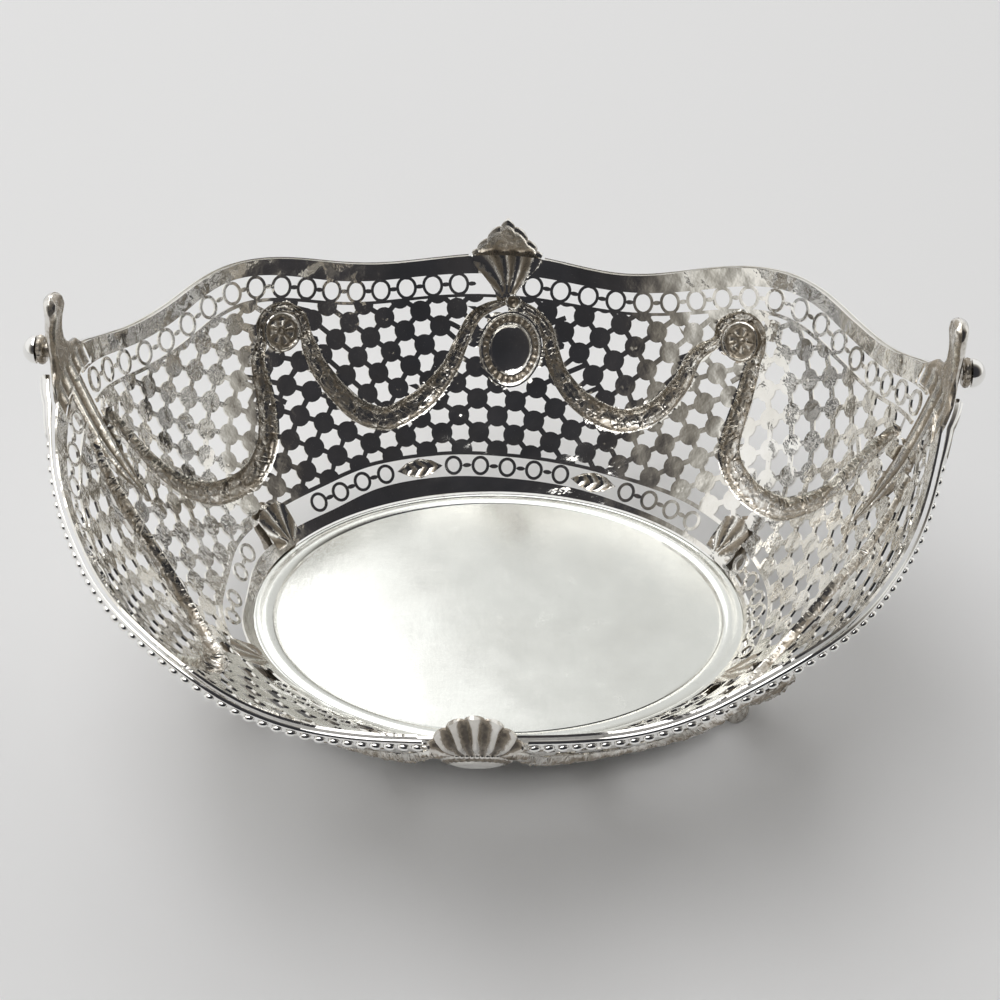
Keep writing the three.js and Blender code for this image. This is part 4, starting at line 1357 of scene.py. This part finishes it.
# Crests
def build_crest(name, crest):
    """A shell: seven lobes over a smooth hollow inner face, deeply fluted outside."""
    angle = math.radians(crest["degrees"])
    per_radian = run_per_radian(rim_edge, angle)

    def spot(along, up, depth):
        turn = angle + along / per_radian
        low = np.minimum(0, up)
        rise = 1 + low / rim_edge(turn)[..., 2]
        lean = CREST_LEAN * np.maximum(0, up) / crest["height"]
        point = wall_point(turn, rise, np.full_like(turn, WALL_THICKNESS))
        point += outward(rim_edge, turn) * (CREST_STANDOFF + lean + depth)[..., None]
        point[..., 2] += np.maximum(0, up)
        return point

    turns = np.linspace(0, math.pi, 16 * CREST_LOBES + 1)
    lobe = np.abs(np.sin(turns * CREST_LOBES))
    inner, outer, inner_tarnish, outer_tarnish = [], [], [], []
    for share in (*np.linspace(0, 0.9, 19), 0.94, 0.97, 1.0):
        scallop = 1 - 0.1 * share * (1 - lobe ** 0.6)
        spread = CREST_FOOT_SPREAD + (1 - CREST_FOOT_SPREAD) * share
        along = -np.cos(turns) * spread * CREST_HALF_WIDTH * scallop
        top = crest["height"] * (1 - np.abs(np.cos(turns)) ** crest["fullness"]) * scallop
        up = -CREST_SKIRT + (top + CREST_SKIRT) * share
        edge = smooth(share, 0.88, 1.0)
        rim = bump(share - 0.93, 0.04)
        front = 0.5 * (1 - share) * np.sin(turns) + 0.5 * edge - 0.25 * rim
        ridge = lobe ** 3
        flute = (2.0 * ridge - 1.0) * smooth(share, 0.05, 0.5)
        back = CREST_THICKNESS + flute * (1 - 0.5 * edge) - 0.4 * edge
        inner.append(spot(along, up, front))
        outer.append(spot(along, up, back))
        inner_tarnish.append(0.58 - 0.45 * rim - 0.1 * lobe * share)
        outer_tarnish.append(1.0 - 0.95 * ridge - 0.3 * edge)
    one = np.arange(len(inner) * len(turns)).reshape(len(inner), -1)
    two = one + one.size
    # The inner face, the outer face, then the strips between them at the foot, the top and both ends
    grids = [one, two.T, (two[0], one[0]), (one[-1], two[-1]), (one[:, 0], two[:, 0]),
             (two[:, -1], one[:, -1])]
    build = Build()
    build.add(np.concatenate(inner + outer), np.vstack([quads(np.array(grid)) for grid in grids]),
              np.concatenate(inner_tarnish + outer_tarnish))
    axes = ((0, 0, 1), outward(rim_edge, angle), (math.copysign(1, math.sin(angle)), 0, 0))
    for along in np.linspace(-CREST_BEAD_REACH, CREST_BEAD_REACH, CREST_BEADS):
        bead = spot(np.array([along]), np.array([-CREST_BEAD_DROP]), np.array([CREST_THICKNESS]))[0]
        build.ball(bead, axes, (0.9, 0.8, 0.9), 8, 6, 0.15)
    build.make(f"crest_{name}_shell", cast, f"crest_{name}", 60)


for crest_name, crest_facts in CRESTS.items():
    build_crest(crest_name, crest_facts)


# Feet
def build_foot(name, angle):
    """A leaf laid against the wall, a knee and a scrolled toe with a flat sole."""
    away = outward(base_edge, angle)
    per_radian = run_per_radian(base_edge, angle)
    near = RING_RIDGE + 2 * GAP
    far = near + 1.5
    # Height, distance from the wall's foot or None against the wall, depth and share of the half width
    stations = [(FOOT_LEAF_HEIGHT, None, 1.0, 0.32), (14.5, None, 1.5, 0.62), (12, None, 2.2, 0.86),
                (9.6, None, 4.2, 0.98), (6, None, 6.0, 1.0), (1.6, near, 7.6, 0.98), (-1, near, 7.6, 0.92),
                (-3, near, 6.8, 0.82), (-6, near + 0.9, 5.2, 0.66), (-8.4, far, 4.8, 0.6),
                (-10, far, 5.4, 0.64), (-11.8, far, 6.2, 0.7), (-13.2, far, 6.8, 0.76),
                (-FOOT_HEIGHT, far, 6.6, 0.74)]
    shares = np.linspace(-1, 1, 25)
    sections = []
    tarnish = []
    for z, off, depth, width in stations:
        turn = angle + shares * width * FOOT_HALF_WIDTH / per_radian
        if off is None:
            height = rim_edge(turn)[:, 2]
            inner = wall_point(turn, z / height, np.full_like(turn, WALL_THICKNESS + GAP))
        else:
            inner = base_edge(turn) + outward(base_edge, turn) * off
        inner[:, 2] = z
        leaf = smooth(z, -2, 4)
        veins = 0.35 * np.cos(shares * math.pi * 5) * leaf - 0.5 * bump(shares, 0.12) * leaf
        bulge = depth * (0.62 + 0.38 * np.sqrt(np.clip(1 - shares ** 2, 0, 1))) + veins * smooth(depth, 1, 4)
        bulge = np.maximum(bulge, 0.6)
        outer = inner + np.outer(bulge, away)
        outer[:, 2] = z
        sections.append(np.vstack([inner, outer[::-1]]))
        tarnish.append(np.concatenate([np.full_like(shares, 0.8), (0.5 - 0.9 * veins)[::-1]]))
    build = Build()
    build.bar(sections, tarnish=np.concatenate(tarnish))
    build.make(f"{name}_leaf", cast, name, 50)


for foot_name, foot_end, foot_way in (("back_right", 0, 1), ("back_left", math.pi, -1),
                                      ("front_left", math.pi, 1), ("front_right", TAU, -1)):
    build_foot(f"foot_{foot_name}", foot_end + foot_way * math.radians(FOOT_ANGLE))


# Studio: a pale floor and a world that is white all round but for a dark field high in front
def build_studio():
    size = 6.0
    mesh = bpy.data.meshes.new("studio_floor")
    z = -FOOT_HEIGHT * MM
    corners = [(size * x, size * y, z) for x, y in ((-1, -1), (1, -1), (1, 1), (-1, 1))]
    mesh.from_pydata(corners, [], [(0, 1, 2, 3)])
    material, tree, shader = node_tree("studio_floor")
    shade = ramp(tree, noise(tree, 0.8, 2), [(0.3, (0.82, 0.82, 0.825)), (0.7, (0.85, 0.85, 0.855))])
    feed(tree, shader, {"Base Color": shade, "Roughness": 0.6, "Specular IOR Level": 0.2})
    mesh.materials.append(material)
    floor = add_object("studio_floor", mesh)

    world = bpy.data.worlds.new("studio")
    bpy.context.scene.world = world
    world.use_nodes = True
    tree = world.node_tree
    inputs = {0: add_node(tree, "TexCoord", "Generated", {}), 1: Vector((0.25, -0.75, 0.6)).normalized()}
    share = add_node(tree, "VectorMath", "Value", inputs, operation="DOT_PRODUCT")
    share = maths(tree, "MAXIMUM", share, 0.0)
    sky = ramp(tree, share, [(0.0, (1.0, 1.0, 0.99)), (0.25, (0.98, 0.97, 0.94)), (0.37, (0.5, 0.49, 0.46)),
                             (0.48, (0.27, 0.255, 0.23)), (0.58, (0.14, 0.13, 0.12)),
                             (0.70, (0.05, 0.048, 0.052)), (1.0, (0.03, 0.031, 0.036))])
    feed(tree, tree.nodes["Background"], {"Color": sky, "Strength": WORLD_STRENGTH})

    for name, kind, spot, width, power in LAMPS:
        data = bpy.data.lights.new(name, kind)
        data.energy = power
        if kind == "AREA":
            data.size = width
        else:
            data.angle = width
        lamp = add_object(name, data)
        lamp.location = spot
        lamp.rotation_euler = (Vector((0, 0, 0.03)) - Vector(spot)).to_track_quat("-Z", "Y").to_euler()


def build_camera():
    """The photograph's viewpoint, for a square picture of 1000 points across."""
    picture = 1000
    focal = 1850.533
    centre = (489.728, 501.053)
    target = Vector((-6.619, 62.794, 0.0))
    distance = 758.801
    elevation, yaw, roll = (math.radians(v) for v in (41.969, -4.045, -1.041))
    forward = Vector((math.sin(yaw), math.cos(yaw), -math.tan(elevation))).normalized()
    level = Vector((math.cos(yaw), -math.sin(yaw), 0))
    over = level.cross(forward)
    right = math.cos(roll) * level + math.sin(roll) * over
    up = -math.sin(roll) * level + math.cos(roll) * over
    data = bpy.data.cameras.new("photo")
    data.sensor_width = 36
    data.lens = focal / picture * data.sensor_width
    data.shift_x = (picture / 2 - centre[0]) / picture
    data.shift_y = (centre[1] - picture / 2) / picture
    data.clip_start = 0.01
    data.clip_end = 50
    camera = add_object("photo", data)
    turned = Matrix((right, up, -forward)).transposed().to_4x4()
    camera.matrix_world = Matrix.Translation((target - forward * distance) * MM) @ turned
    bpy.context.scene.camera = camera


build_studio()
build_camera()
bpy.context.scene.view_settings.view_transform = "Standard"
